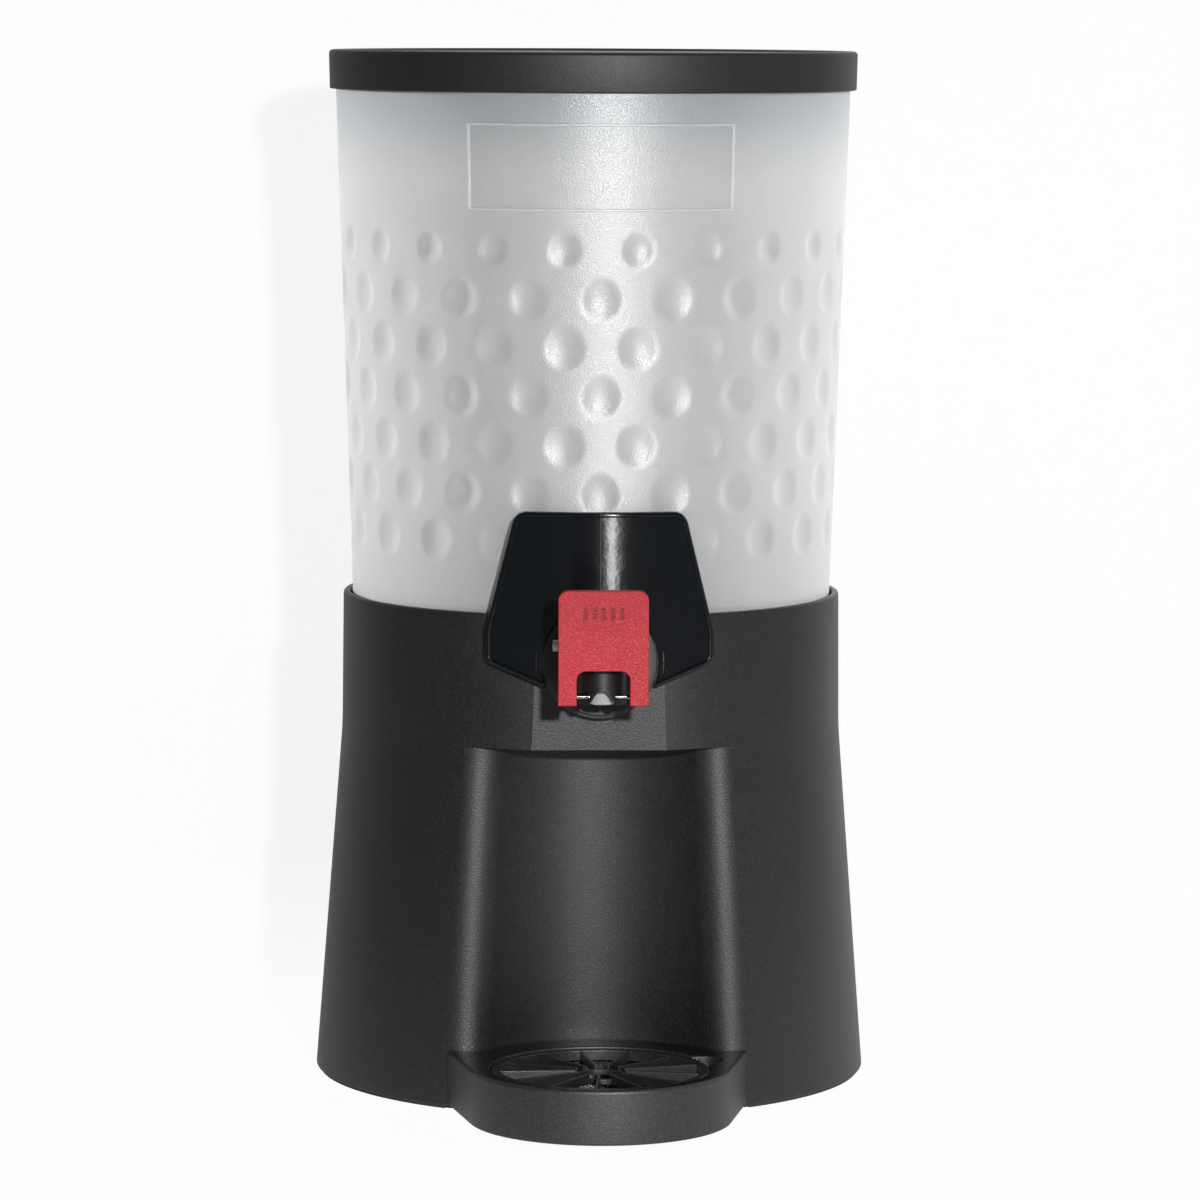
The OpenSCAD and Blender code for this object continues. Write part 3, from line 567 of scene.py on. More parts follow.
@dataclass(frozen=True)
class WhitePaper(Finish):
    """White paper that keeps a faint shadow and lets light in from behind."""

    name: str = "white_paper"
    tooth_mm: float = 1.5
    low_white: float = 0.92
    high_white: float = 0.95
    wall_share: float = 0.87
    floor_share: float = 0.96
    bend_height: float = 0.06
    mirror_share: float = 0.9
    flattened: Colour = (1.0, 1.0, 0.4)
    near_step: Point = (0.2, 0.9)
    near_glow: float = 0.55
    far_glow: float = 0.12
    side_step: Point = (-0.45, 0.3)
    side_glow: float = 0.68
    left_glow: float = 0.48

    def mirrored(self, recipe: Recipe) -> Wire:
        """How bright the paper looks in a gloss: brighter near the dispenser and on its right.

        Args:
            recipe: The recipe in the making.

        Returns:
            The strength.
        """
        low = recipe.out("ShaderNodeMapping", None, {"Vector": recipe.place(), "Scale": self.flattened})
        away = recipe.out("ShaderNodeVectorMath", {"operation": "LENGTH"}, {0: low}, "Value")
        near = 1.0 - recipe.ramp(away, *self.near_step)
        side = recipe.ramp(recipe.along("X"), *self.side_step)
        return (near * self.near_glow + self.far_glow) * (side * self.side_glow + self.left_glow)

    def fill(self, recipe: Recipe) -> bpy.types.Material:
        """Paper that glows for the camera and in a gloss, and is clear from behind and for shadows.

        Args:
            recipe: The empty recipe.

        Returns:
            The material.
        """
        whites = ((white,) * 3 for white in (self.low_white, self.high_white))
        tooth = recipe.shade(recipe.grain(self.tooth_mm, 3.0), *whites)
        paper = recipe.out("ShaderNodeBsdfDiffuse", None, {"Color": tooth})
        path = recipe.node("ShaderNodeLightPath").outputs
        seen, through, glossy, shadow = (
            Wire(recipe, path[f"Is {kind} Ray"]) for kind in ("Camera", "Transmission", "Glossy", "Shadow")
        )
        plain = seen + through
        strength = plain + glossy * self.mirrored(recipe)
        glow = recipe.out("ShaderNodeEmission", None, {"Color": (1.0, 1.0, 1.0, 1.0), "Strength": strength})
        share = recipe.out("ShaderNodeMapRange", None, {
            "Value": recipe.along("Z"),
            "From Min": 0.0,
            "From Max": self.bend_height,
            "To Min": self.floor_share,
            "To Max": self.wall_share,
        })
        factor = plain * share + glossy * self.mirror_share
        front = recipe.out("ShaderNodeMixShader", None, {0: factor, 1: paper, 2: glow})
        behind = recipe.out("ShaderNodeNewGeometry", key="Backfacing")
        clear = recipe.out("ShaderNodeBsdfTransparent")
        sheet = recipe.out("ShaderNodeMixShader", None, {0: behind + shadow, 1: front, 2: clear})
        recipe.node("ShaderNodeOutputMaterial", None, {"Surface": sheet})
        return recipe.material


def grey(level: float) -> Colour:
    """A plain grey."""
    return (level, level, level)


BASE_GREY = GrainedPlastic("base_grain", (0.0085, 0.0085, 0.0088), 0.45, gloss=0.75, painted_glint=grey(0.034))
TRAY_GREY = WellPlastic("tray_grain", (0.0105, 0.0105, 0.0107), 0.46, gloss=0.95, painted_glint=grey(0.060))
LID_BLACK = GrainedPlastic("lid_grain", (0.0145, 0.0145, 0.0148), 0.49, gloss=0.52, painted_glint=grey(0.010))
COLLAR_GREY = GrainedPlastic("collar_grain", (0.030, 0.031, 0.031), 0.5)
LEVER_RED = GripPlastic(
    "lever_grain", (0.45, 0.015, 0.026), 0.42, grain_mm=0.65, depth_mm=0.5, strength=0.7, mottle=0.25, gloss=0.35,
    painted_glint=(0.20, 0.07, 0.08),
)
GRILLE_BLACK = GrainedPlastic(
    "grille_satin", (0.0110, 0.0112, 0.0116), 0.36, grain_mm=0.45, depth_mm=0.2, gloss=0.9, painted_glint=(0.06, 0.061, 0.063)
)
GLAND_PALE = GrainedPlastic(
    "gland_pale", (0.55, 0.55, 0.52), 0.4, grain_mm=0.6, depth_mm=0.02, strength=0.3, mottle=0.05
)
TAP_BLACK = GlossPlastic("tap_satin", (0.0085, 0.0088, 0.0092), 0.47, line=True, drawn=0.4, shine=0.6)
SHIELD_GLOSS = GlossPlastic("shield_gloss", (0.0042, 0.0056, 0.0072), 0.22, line=True)
FROSTED = FrostedPlastic()
FRAME_FROSTED = FrostedPlastic("frosted_frame", (0.55, 0.555, 0.56), (0.55, 0.555, 0.56), (0.43, 0.45, 0.46))
STEEL = DrawnSteel()
ZINC = DrawnSteel("zinc_pin", (0.56, 0.57, 0.58), 0.40, metal=0.4)
BLACK_RUBBER = SoftRubber("black_rubber", (0.012, 0.012, 0.012))
SILICONE = SoftRubber("grey_silicone", (0.175, 0.168, 0.160), 0.55)


def arc(centre: Point, radius: float, start: float, end: float, steps: int) -> list[Point]:
    """Points along an arc, both ends among them; its angles are in degrees."""
    angles = [math.radians(start + (end - start) * i / steps) for i in range(steps + 1)]
    return [(centre[0] + radius * math.cos(a), centre[1] + radius * math.sin(a)) for a in angles]


def rounded(corners: Sequence[tuple[float, float, float]], closed: bool, steps: int = 5) -> list[Point]:
    """Round the corners of an outline.

    Args:
        corners: Points as x, y and the corner's radius.
        closed: Whether the last point joins the first.
        steps: The steps in each corner.

    Returns:
        The points of the rounded outline.
    """
    made: list[Point] = []
    count = len(corners)
    for i, (x, y, radius) in enumerate(corners):
        here = Vector((x, y))
        end = not closed and i in (0, count - 1)
        if radius <= 0.0 or end:
            made.append((x, y))
            continue
        u = (Vector(corners[i - 1][:2]) - here).normalized()
        v = (Vector(corners[(i + 1) % count][:2]) - here).normalized()
        half = u.angle(v) / 2.0
        middle = here + (u + v).normalized() * radius / math.sin(half)
        first, last = here + u * radius / math.tan(half), here + v * radius / math.tan(half)
        start = math.atan2(first.y - middle.y, first.x - middle.x)
        turn = math.atan2(last.y - middle.y, last.x - middle.x) - start
        turn = (turn + math.pi) % (2.0 * math.pi) - math.pi
        made += arc(tuple(middle), radius, math.degrees(start), math.degrees(start + turn), steps)
    return made


def wire_loop(bm: bmesh.types.BMesh, points: Sequence[Vector], closed: bool = True) -> list[bmesh.types.BMEdge]:
    """Lay a line of edges.

    Args:
        bm: The mesh that takes them.
        points: The line's points.
        closed: Whether the last point joins the first.

    Returns:
        The edges.
    """
    verts = [bm.verts.new(p) for p in points]
    pairs = list(zip(verts, verts[1:] + verts[:1])) if closed else list(zip(verts, verts[1:]))
    return [bm.edges.new(pair) for pair in pairs]


def turned(
    profile: Sequence[Point], steps: int, closed: bool = False, sweep: float = FULL_TURN
) -> bmesh.types.BMesh:
    """Turn a profile about the Z axis.

    Args:
        profile: Points as radius and height.
        steps: The steps in the turn.
        closed: Whether the profile is a ring.
        sweep: The turn's angle in degrees.

    Returns:
        The turned mesh.
    """
    bm = bmesh.new()
    edges = wire_loop(bm, [Vector((r, 0.0, z)) for r, z in profile], closed)
    full = sweep >= FULL_TURN
    geom = list(bm.verts) + list(edges)
    if not full:
        geom += bmesh.ops.edgeloop_fill(bm, edges=edges)["faces"]
    bmesh.ops.spin(
        bm, geom=geom, cent=(0, 0, 0), axis=(0, 0, 1), angle=math.radians(sweep), steps=steps, use_merge=full
    )
    bmesh.ops.remove_doubles(bm, verts=bm.verts, dist=MERGE_MM / 2.0)
    bmesh.ops.recalc_face_normals(bm, faces=bm.faces)
    return bm


def ring(
    radii: Point, heights: Point, eases: Sequence[float], steps: int, corner_steps: int = 5
) -> bmesh.types.BMesh:
    """Turn a ring with eased corners.

    Args:
        radii: Its inner and outer radius.
        heights: Its lower and upper face.
        eases: The corners' radii, from the lower inner one outwards and up.
        steps: The steps in the turn.
        corner_steps: The steps in each corner.

    Returns:
        The ring.
    """
    (inner, outer), (low, high) = radii, heights
    corners = ((inner, low), (outer, low), (outer, high), (inner, high))
    profile = rounded([(*corner, ease) for corner, ease in zip(corners, eases)], True, corner_steps)
    return turned(profile, steps, True)


def sheet_solid(outline: Sequence[Vector], push: Vector) -> bmesh.types.BMesh:
    """Push a flat outline into a solid.

    Args:
        outline: The outline's points.
        push: The way and the length of the push.

    Returns:
        The solid.
    """
    bm = bmesh.new()
    face = bmesh.ops.edgeloop_fill(bm, edges=wire_loop(bm, outline))["faces"][0]
    pushed = bmesh.ops.extrude_face_region(bm, geom=[face])["geom"]
    bmesh.ops.translate(bm, vec=push, verts=[v for v in pushed if isinstance(v, bmesh.types.BMVert)])
    bmesh.ops.recalc_face_normals(bm, faces=bm.faces)
    return bm


def block(lo: Sequence[float], hi: Sequence[float], ease: float = 0.0) -> bmesh.types.BMesh:
    """A box between two corners, with eased edges.

    Args:
        lo: The lowest corner.
        hi: The highest corner.
        ease: The radius of the edges.

    Returns:
        The box.
    """
    bm = bmesh.new()
    span = [b - a for a, b in zip(lo, hi)]
    middle = [(a + b) / 2.0 for a, b in zip(lo, hi)]
    bmesh.ops.create_cube(bm, size=1.0, matrix=Matrix.Translation(middle) @ Matrix.Diagonal((*span, 1.0)))
    if ease > 0.0:
        ease_edges(bm, ease)
    return bm


def ease_edges(
    bm: bmesh.types.BMesh, radius: float, segments: int = 3, angle: float = SHARP_DEGREES,
    wanted: Callable[[bmesh.types.BMEdge], bool] = lambda edge: True,
) -> None:
    """Round the sharp edges of a mesh.

    Args:
        bm: The mesh.
        radius: The edges' radius.
        segments: The steps across an edge.
        angle: The least fold that counts as an edge, in degrees.
        wanted: Whether an edge is among them.
    """
    least = math.radians(angle)
    edges = [e for e in bm.edges if e.is_manifold and e.calc_face_angle(0.0) > least and wanted(e)]
    bmesh.ops.bevel(
        bm, geom=edges, offset=radius, offset_type="OFFSET", segments=segments, profile=0.5, affect="EDGES",
        clamp_overlap=True, material=-1,
    )


def joined(parts: Sequence[bmesh.types.BMesh]) -> bmesh.types.BMesh:
    """Put several meshes into one.

    Args:
        parts: The meshes, which are used up.

    Returns:
        The one mesh.
    """
    whole = bmesh.new()
    for part in parts:
        mesh = bpy.data.meshes.new("part")
        part.to_mesh(mesh)
        part.free()
        whole.from_mesh(mesh)
        bpy.data.meshes.remove(mesh)
    return whole


def moved(bm: bmesh.types.BMesh, matrix: Matrix) -> bmesh.types.BMesh:
    """Move a whole mesh, and give it back."""
    bmesh.ops.transform(bm, matrix=matrix, verts=bm.verts)
    return bm


def solid_of(node: str) -> bmesh.types.BMesh:
    """Copy a node's solid with its loose triangles joined, in millimetres.

    Args:
        node: The node's name.

    Returns:
        The joined copy.
    """
    bm = bmesh.new()
    bm.from_mesh(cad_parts[node].data)
    bmesh.ops.scale(bm, vec=(1.0 / MM,) * 3, verts=bm.verts)
    bmesh.ops.remove_doubles(bm, verts=bm.verts, dist=MERGE_MM)
    bmesh.ops.dissolve_limit(bm, angle_limit=math.radians(FLAT_DEGREES), verts=bm.verts, edges=bm.edges)
    return bm


@dataclass
class Piece:
    """One finished piece: its name, the body it rides on, its finish and the nodes it stands for."""

    name: str
    body: Body
    slot: str
    finish: Finish
    stands_for: tuple[str, ...] = ()
    crease: float = SHARP_DEGREES
    eased: bool = False

    def make(self, bm: bmesh.types.BMesh, tool: bmesh.types.BMesh | None = None) -> bpy.types.Object:
        """Make the object from a mesh in millimetres.

        Args:
            bm: The closed mesh, which is used up.
            tool: A closed mesh to cut out of it, or none.

        Returns:
            The object.
        """
        made = self._object(self.name, bm)
        if tool is not None:
            self._cut(made, tool)
        made.data.materials.clear()
        made.data.materials.append(self.finish.material())
        made.data.shade_smooth()
        made.data.set_sharp_from_angle(angle=math.radians(self.crease))
        if self.eased:
            made.modifiers.new("even_flats", "WEIGHTED_NORMAL").keep_sharp = True
        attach(made, self.body.value)
        if self.stands_for:
            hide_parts(*self.stands_for)
        LOG.info("%s: %d faces on %s", self.name, len(made.data.polygons), self.body.value)
        return made

    def _object(self, name: str, bm: bmesh.types.BMesh) -> bpy.types.Object:
        """Turn a mesh in millimetres into an object at the origin.

        Args:
            name: The object's name.
            bm: The mesh, which is used up.

        Returns:
            The object.
        """
        bmesh.ops.recalc_face_normals(bm, faces=bm.faces)
        bmesh.ops.scale(bm, vec=(MM, MM, MM), verts=bm.verts)
        mesh = bpy.data.meshes.new(name)
        bm.to_mesh(mesh)
        bm.free()
        made = bpy.data.objects.new(name, mesh)
        bpy.context.scene.collection.objects.link(made)
        return made

    def _cut(self, made: bpy.types.Object, tool: bmesh.types.BMesh) -> None:
        """Cut a tool out of an object and keep the plain result.

        Args:
            made: The object.
            tool: The tool's mesh in millimetres, which is used up.
        """
        cutter = self._object("cutter", tool)
        cut = made.modifiers.new("cut", "BOOLEAN")
        cut.operation = "DIFFERENCE"
        cut.solver = "MANIFOLD"
        cut.object = cutter
        result = bpy.data.meshes.new_from_object(made.evaluated_get(bpy.context.evaluated_depsgraph_get()))
        made.modifiers.clear()
        spent = [made.data, cutter.data]
        made.data = result
        result.name = self.name
        bpy.data.objects.remove(cutter)
        for mesh in spent:
            bpy.data.meshes.remove(mesh)


class Loft:
    """A skin that grows from one closed outline to the next, station by station."""

    def __init__(self, points: Sequence[Vector]) -> None:
        """Lay the first outline.

        Args:
            points: The outline's points, one for each station.
        """
        self.bm = bmesh.new()
        self.station = self.bm.verts.layers.int.new("station")
        self.edges = wire_loop(self.bm, points)
        for i, edge in enumerate(self.edges):
            edge.verts[0][self.station] = i
        self.first = list(self.edges)

    def grow(self, points: Sequence[Vector]) -> None:
        """Draw the skin on from the last outline to the next one.

        Args:
            points: The next outline, with the same stations.
        """
        drawn = bmesh.ops.extrude_edge_only(self.bm, edges=self.edges)["geom"]
        for vert in (v for v in drawn if isinstance(v, bmesh.types.BMVert)):
            vert.co = points[vert[self.station]]
        self.edges = [e for e in drawn if isinstance(e, bmesh.types.BMEdge)]

    def close(self) -> None:
        """Fill the last outline with one flat face."""
        bmesh.ops.edgeloop_fill(self.bm, edges=self.edges)


@dataclass
class Base:
    """Flared base with its niche, panel, rim, deck and hollow underside, in millimetres."""

    foot_r: float = 115.0
    waist_r: float = 104.0
    foot_z: float = 1.2
    bend_z: float = 139.0
    bend: float = 12.0
    waist_z: float = 145.0
    upright: float = 0.0089
    wall: float = 3.0
    flange: float = 11.0
    flange_top: float = 4.2
    deck_z: float = 150.0
    ceiling_z: float = 147.0
    panel_set: float = 100.4
    niche_r: float = 55.0
    niche_set: float = 126.0
    lip_r: float = 14.0
    slot_r: float = 13.8
    slot_back: float = 94.0
    slot_deep: float = 12.0
    slot_up: float = 40.0
    slot_steps: int = 40
    tongue_low: tuple[float, ...] = (-18.6, -80.0, 6.0)
    tongue_high: tuple[float, ...] = (18.6, -60.0, 9.4)
    tap_z: float = 183.2
    side_heights: tuple[float, ...] = (145.0, 143.0, 141.0, 139.0, 124.0, 104.0, 84.0, 64.0, 44.0, 24.0, 8.0, 2.4)
    foot_ease: tuple[Point, ...] = ((1.8, 0.06), (1.4, 0.28), (1.2, 0.7))
    inner_heights: tuple[float, ...] = (50.0, 100.0)
    crown_heights: tuple[float, ...] = (149.0, 151.0, 162.0, 176.0, 190.0, 199.6)
    rim_ease: tuple[Point, ...] = ((200.6, 0.1), (201.2, 0.4), (201.5, 1.0), (201.5, 2.2), (201.2, 2.75), (200.4, 3.0))
    side_steps: int = 10
    panel_steps: int = 10
    lip_steps: int = 20
    back_steps: int = 36
    ring_steps: int = 168

    def radius(self, z: float) -> float:
        """Outer radius at a height.

        Args:
            z: The height.

        Returns:
            The radius, with a soft bend at the waist.
        """
        flare = (self.foot_r - self.waist_r) / (self.waist_z - self.foot_z)
        at_bend = self.foot_r - flare * (self.bend_z - self.foot_z)
        rise = min(max(z - self.bend_z, 0.0), self.bend)
        bent = at_bend - flare * rise + (flare - self.upright) * rise * rise / (2.0 * self.bend)
        if z <= self.bend_z:
            return self.foot_r - flare * (z - self.foot_z)
        return bent - self.upright * max(z - self.bend_z - self.bend, 0.0)

    def lip(self, z: float) -> Point:
        """Centre of the right lip at a height.

        Args:
            z: The height.

        Returns:
            The centre in plan.
        """
        reach = self.radius(z) - self.lip_r
        span = self.niche_r + self.lip_r
        y = (reach * reach + self.niche_set * self.niche_set - span * span) / (2.0 * self.niche_set)
        return math.sqrt(reach * reach - y * y), -y

    def outline(self, z: float, ring_in: float, niche_in: float) -> list[Vector]:
        """Outline of the lower part: right lip, niche, left lip and round back.

        Args:
            z: The height.
            ring_in: How far the round part is drawn in.
            niche_in: How far the niche and its lips are drawn in.

        Returns:
            The outline's points.
        """
        lip = self.lip(z)
        out = math.degrees(math.atan2(lip[1], lip[0]))
        into = math.degrees(math.atan2(-self.niche_set - lip[1], -lip[0]))
        back = math.degrees(math.atan2(lip[1] + self.niche_set, lip[0]))
        right = arc(lip, self.lip_r - niche_in, out, into, self.lip_steps)
        hollow = arc((0.0, -self.niche_set), self.niche_r + niche_in, back, 180.0 - back, self.back_steps)
        left = [(-x, y) for x, y in reversed(right)]
        rear = arc((0.0, 0.0), self.radius(z) - ring_in, 180.0 - out, out, self.ring_steps)
        return [Vector((x, y, z)) for x, y in right + hollow[1:-1] + left + rear[1:-1]]

    def front(self, z: float, drawn_in: float) -> list[Vector]:
        """Front of the upper part, from the left lip past the flat panel to the right lip.

        Args:
            z: The height.
            drawn_in: How far it is drawn in.

        Returns:
            The points between the two lips.
        """
        radius = self.radius(z) - drawn_in
        lip = self.lip(self.ceiling_z)
        out = math.degrees(math.atan2(lip[1], lip[0]))
        flat = self.panel_set - drawn_in
        edge = math.degrees(math.acos(flat / radius)) - 90.0
        side = arc((0.0, 0.0), radius, out, edge, self.side_steps)[1:]
        half = side[-1][0]
        panel = [(half - 2.0 * half * i / self.panel_steps, -flat) for i in range(1, self.panel_steps)]
        left = [(-x, y) for x, y in reversed(side)]
        return [Vector((x, y, z)) for x, y in reversed(side + panel + left)]

    def upper(self, z: float, drawn_in: float) -> list[Vector]:
        """Whole outline of the upper part, its round back first.

        Args:
            z: The height.
            drawn_in: How far it is drawn in.

        Returns:
            The outline's points.
        """
        lip = self.lip(self.ceiling_z)
        out = math.degrees(math.atan2(lip[1], lip[0]))
        rear = arc((0.0, 0.0), self.radius(z) - drawn_in, 180.0 - out, out, self.ring_steps)
        return [Vector((x, y, z)) for x, y in rear] + list(reversed(self.front(z, drawn_in)))

    def skirt(self) -> bmesh.types.BMesh:
        """Lower part: outer skin with the niche, foot, flange and inner skin.

        Returns:
            The mesh, open at the ceiling.
        """
        loft = Loft(self.outline(self.ceiling_z, 0.0, 0.0))
        for z in self.side_heights:
            loft.grow(self.outline(z, 0.0, 0.0))
        for z, drawn in self.foot_ease:
            loft.grow(self.outline(z, drawn, drawn))
        flange = [(self.foot_z, self.flange), (self.flange_top, self.flange), (self.flange_top, self.wall)]
        inside = [(z, self.wall) for z in (*self.inner_heights, self.ceiling_z)]
        for z, ring_in in flange + inside:
            loft.grow(self.outline(z, ring_in, self.wall))
        loft.close()
        return loft.bm

    def crown(self) -> bmesh.types.BMesh:
        """Upper part: panel, rim, well and deck.

        Returns:
            The mesh, open at the ceiling.
        """
        loft = Loft(self.upper(self.ceiling_z, 0.0))
        for z in self.crown_heights:
            loft.grow(self.upper(z, 0.0))
        for z, drawn in self.rim_ease:
            loft.grow(self.upper(z, drawn))
        loft.grow(self.upper(self.deck_z, self.wall))
        loft.close()
        return loft.bm

    def ceiling(self) -> bmesh.types.BMesh:
        """Ceiling of the niche, under the panel.

        Returns:
            The flat face.
        """
        bm = bmesh.new()
        inner = self.outline(self.ceiling_z, 0.0, 0.0)[: 2 * self.lip_steps + self.back_steps + 1]
        bmesh.ops.edgeloop_fill(bm, edges=wire_loop(bm, inner + self.front(self.ceiling_z, 0.0)))
        return bm

    def slots(self) -> bmesh.types.BMesh:
        """Tools for the tap's slot in the panel and the tray's slot in the niche.

        Returns:
            The tools as one mesh.
        """
        r, up = self.slot_r, self.slot_up
        turn = Matrix.Translation((0.0, -self.slot_back, self.tap_z)) @ Matrix.Rotation(math.radians(90.0), 4, "X")
        outline = [(r, up), (-r, up)] + arc((0.0, 0.0), r, 180.0, FULL_TURN, self.slot_steps)
        tap = sheet_solid([turn @ Vector((*point, 0.0)) for point in outline], Vector((0.0, -self.slot_deep, 0.0)))
        return joined([tap, block(self.tongue_low, self.tongue_high)])

    def build(self) -> None:
        """Join the parts, cut the slots and dress the housing."""
        whole = joined([self.skirt(), self.crown(), self.ceiling()])
        bmesh.ops.remove_doubles(whole, verts=whole.verts, dist=MERGE_MM)
        housing = Piece("housing", Body.BASE, "base_plastic", BASE_GREY, ("base_housing",), crease=11.0)
        housing.make(whole, self.slots())


@dataclass
class Container:
    """Drafted container with its dimples, tap flat and plain raised frame, in millimetres."""

    foot_z: float = 150.0
    rim_z: float = 423.0
    base_rim_z: float = 201.5
    radius_at_rim: float = 99.6
    draft: float = 1.92
    wall: float = 3.0
    flat_set: float = 95.0
    flat_top: float = 235.0
    count: int = 22
    rows: int = 7
    first_row: float = 230.0
    pitch: float = 19.6
    dimple_r: float = 8.5
    top_dimple_r: float = 6.5
    depth: float = 1.7
    columns: int = 440
    frame_top: float = 398.0
    frame_h: float = 35.0
    frame_angle: float = 60.4
    line: float = 1.2
    rise: float = 0.6
    root: float = 0.8
    slope: float = 0.12
    ease: float = 0.3
    band_steps: int = 72
    floor_z: float = 153.0
    foot_ease: float = 2.0
    rim_ease: float = 0.8
    rim_lead: Point = (0.05, 2.0)
    floor_ease: float = 3.0
    fine_from: float = 212.0
    fine_step: float = 1.3
    fine_count: int = 117
    low_heights: tuple[float, ...] = (156.0, 180.0, 200.0)
    high_heights: tuple[float, ...] = (372.0, 385.0, 400.0, 412.0, 421.8)
    inner_heights: tuple[float, ...] = (400.0, 340.0, 290.0, 250.0, 238.0, 237.8, 200.0, 158.0)
    dimple_zone: Point = (214.0, 362.0)
    tap_cosine: float = 0.96
    dent_soft: float = 0.005
    dent_least: float = 0.012

    def radius(self, z: float) -> float:
        """Outer radius at a height."""
        return self.radius_at_rim + math.tan(math.radians(self.draft)) * (z - self.base_rim_z)

    def profile(self) -> list[Point]:
        """Profile of the wall from the middle of the floor, up outside and down inside.

        Returns:
            Points as radius and height.
        """
        fine = [self.fine_from + self.fine_step * i for i in range(self.fine_count)]
        outer = [(self.radius(z), z) for z in (*self.low_heights, *fine, *self.high_heights)]
        down = [(self.radius(z) - self.wall, z) for z in self.inner_heights]
        low, high, rim_z = self.foot_z, self.floor_z, self.rim_z
        foot = rounded([(0.0, low, 0.0), (self.radius(low), low, self.foot_ease), (*outer[0], 0.0)], False)
        top = self.radius(rim_z)
        inner = top - self.wall
        rim = rounded([
            (*outer[-1], 0.0), (top, rim_z, self.rim_ease), (inner, rim_z, self.rim_ease),
            (inner - self.rim_lead[0], rim_z - self.rim_lead[1], 0.0),
        ], False)
        corner = (self.radius(high) - self.wall, high, self.floor_ease)
        floor = rounded([(*down[-1], 0.0), corner, (0.0, high, 0.0)], False)
        return foot[:-1] + outer + rim[1:] + down + floor[1:]

    def dent(self, angle: float, z: float) -> float:
        """Depth of the dimples at a place on the wall.

        Args:
            angle: The angle from the front, in degrees.
            z: The height.

        Returns:
            The depth.
        """
        step = FULL_TURN / self.count
        near = round((z - self.first_row) / self.pitch)
        deepest = 0.0
        for row in range(max(near - 1, 0), min(near + 2, self.rows)):
            shift = 0.5 if row % 2 == 0 else 0.0
            column = round(angle / step - shift) + shift
            if row == 0 and math.cos(math.radians(column * step)) > self.tap_cosine:
                continue
            rim = self.top_dimple_r if row == self.rows - 1 else self.dimple_r
            ball = (rim * rim + self.depth * self.depth) / (2.0 * self.depth)
            radius = self.radius(z)
            across = radius * math.radians(angle - column * step)
            up = z - (self.first_row + row * self.pitch)
            bowl = self.depth - across * across * (0.5 / ball + 0.5 / radius) - up * up * 0.5 / ball
            deepest = max(deepest, 0.5 * (bowl + math.sqrt(bowl * bowl + self.dent_soft)))
        return deepest if deepest > self.dent_least else 0.0

    def shell(self) -> bmesh.types.BMesh:
        """Turn the wall, then press the dimples and the tap flat into it.

        Returns:
            The shell.
        """
        bm = turned(self.profile(), self.columns)
        lowest, highest = self.dimple_zone
        for vert in bm.verts:
            x, y, z = vert.co
            reach = math.hypot(x, y)
            outside = reach > self.radius(z) - 0.5 * self.wall
            if outside and lowest < z < highest:
                angle = math.degrees(math.atan2(x, -y))
                scale = (reach - self.dent(angle, z)) / reach
                x, y = x * scale, y * scale
            flat = self.flat_set if outside else self.flat_set - self.wall
            top = self.flat_top if outside else self.flat_top + self.wall
            if z < top and -y > flat:
                y = -flat
            vert.co = (x, y, z)
        return bm

    def band(self, z: float) -> bmesh.types.BMesh:
        """One level line of the raised frame.

        Args:
            z: The line's lower edge.

        Returns:
            The line as a curved bar.
        """
        low, high = self.radius(z), self.radius(z + self.line)
        foot, head = z + self.slope, z + self.line - self.slope
        ridge = rounded([
            (low - self.root, z, 0.0), (low + self.rise, foot, self.ease), (high + self.rise, head, self.ease),
            (high - self.root, z + self.line, 0.0),
        ], True, 3)
        bm = turned(ridge, self.band_steps, True, self.frame_angle)
        return moved(bm, Matrix.Rotation(math.radians(-90.0 - self.frame_angle / 2.0), 4, "Z"))

    def post(self, side: int) -> bmesh.types.BMesh:
        """One upright line of the raised frame.

        Args:
            side: -1 for the left line and 1 for the right one.

        Returns:
            The line as a leaning bar.
        """
        middle = self.frame_top - self.frame_h / 2.0
        wide, tall = self.line / 2.0, self.frame_h / 2.0
        bar = block((-self.root, -wide, -tall), (self.rise, wide, tall), self.ease)
        half = self.frame_angle / 2.0 - math.degrees(self.line / 2.0 / self.radius(middle))
        lean = Matrix.Rotation(math.radians(self.draft), 4, "Y")
        turn = Matrix.Rotation(math.radians(-90.0 + side * half), 4, "Z")
        return moved(bar, turn @ Matrix.Translation((self.radius(middle), 0.0, middle)) @ lean)

    def build(self) -> list[bpy.types.Object]:
        """Make the shell and its raised frame.

        Returns:
            The two pieces.
        """
        low = self.frame_top - self.frame_h
        lines = [self.band(low), self.band(self.frame_top - self.line), self.post(-1), self.post(1)]
        slot, crease = "frosted_plastic", 40.0
        shell = Piece("container_shell", Body.VESSEL, slot, FROSTED, ("container",), crease)
        raised = Piece("container_frame", Body.VESSEL, slot, FRAME_FROSTED, (), crease, True)
        return [shell.make(self.shell()), raised.make(joined(lines))]


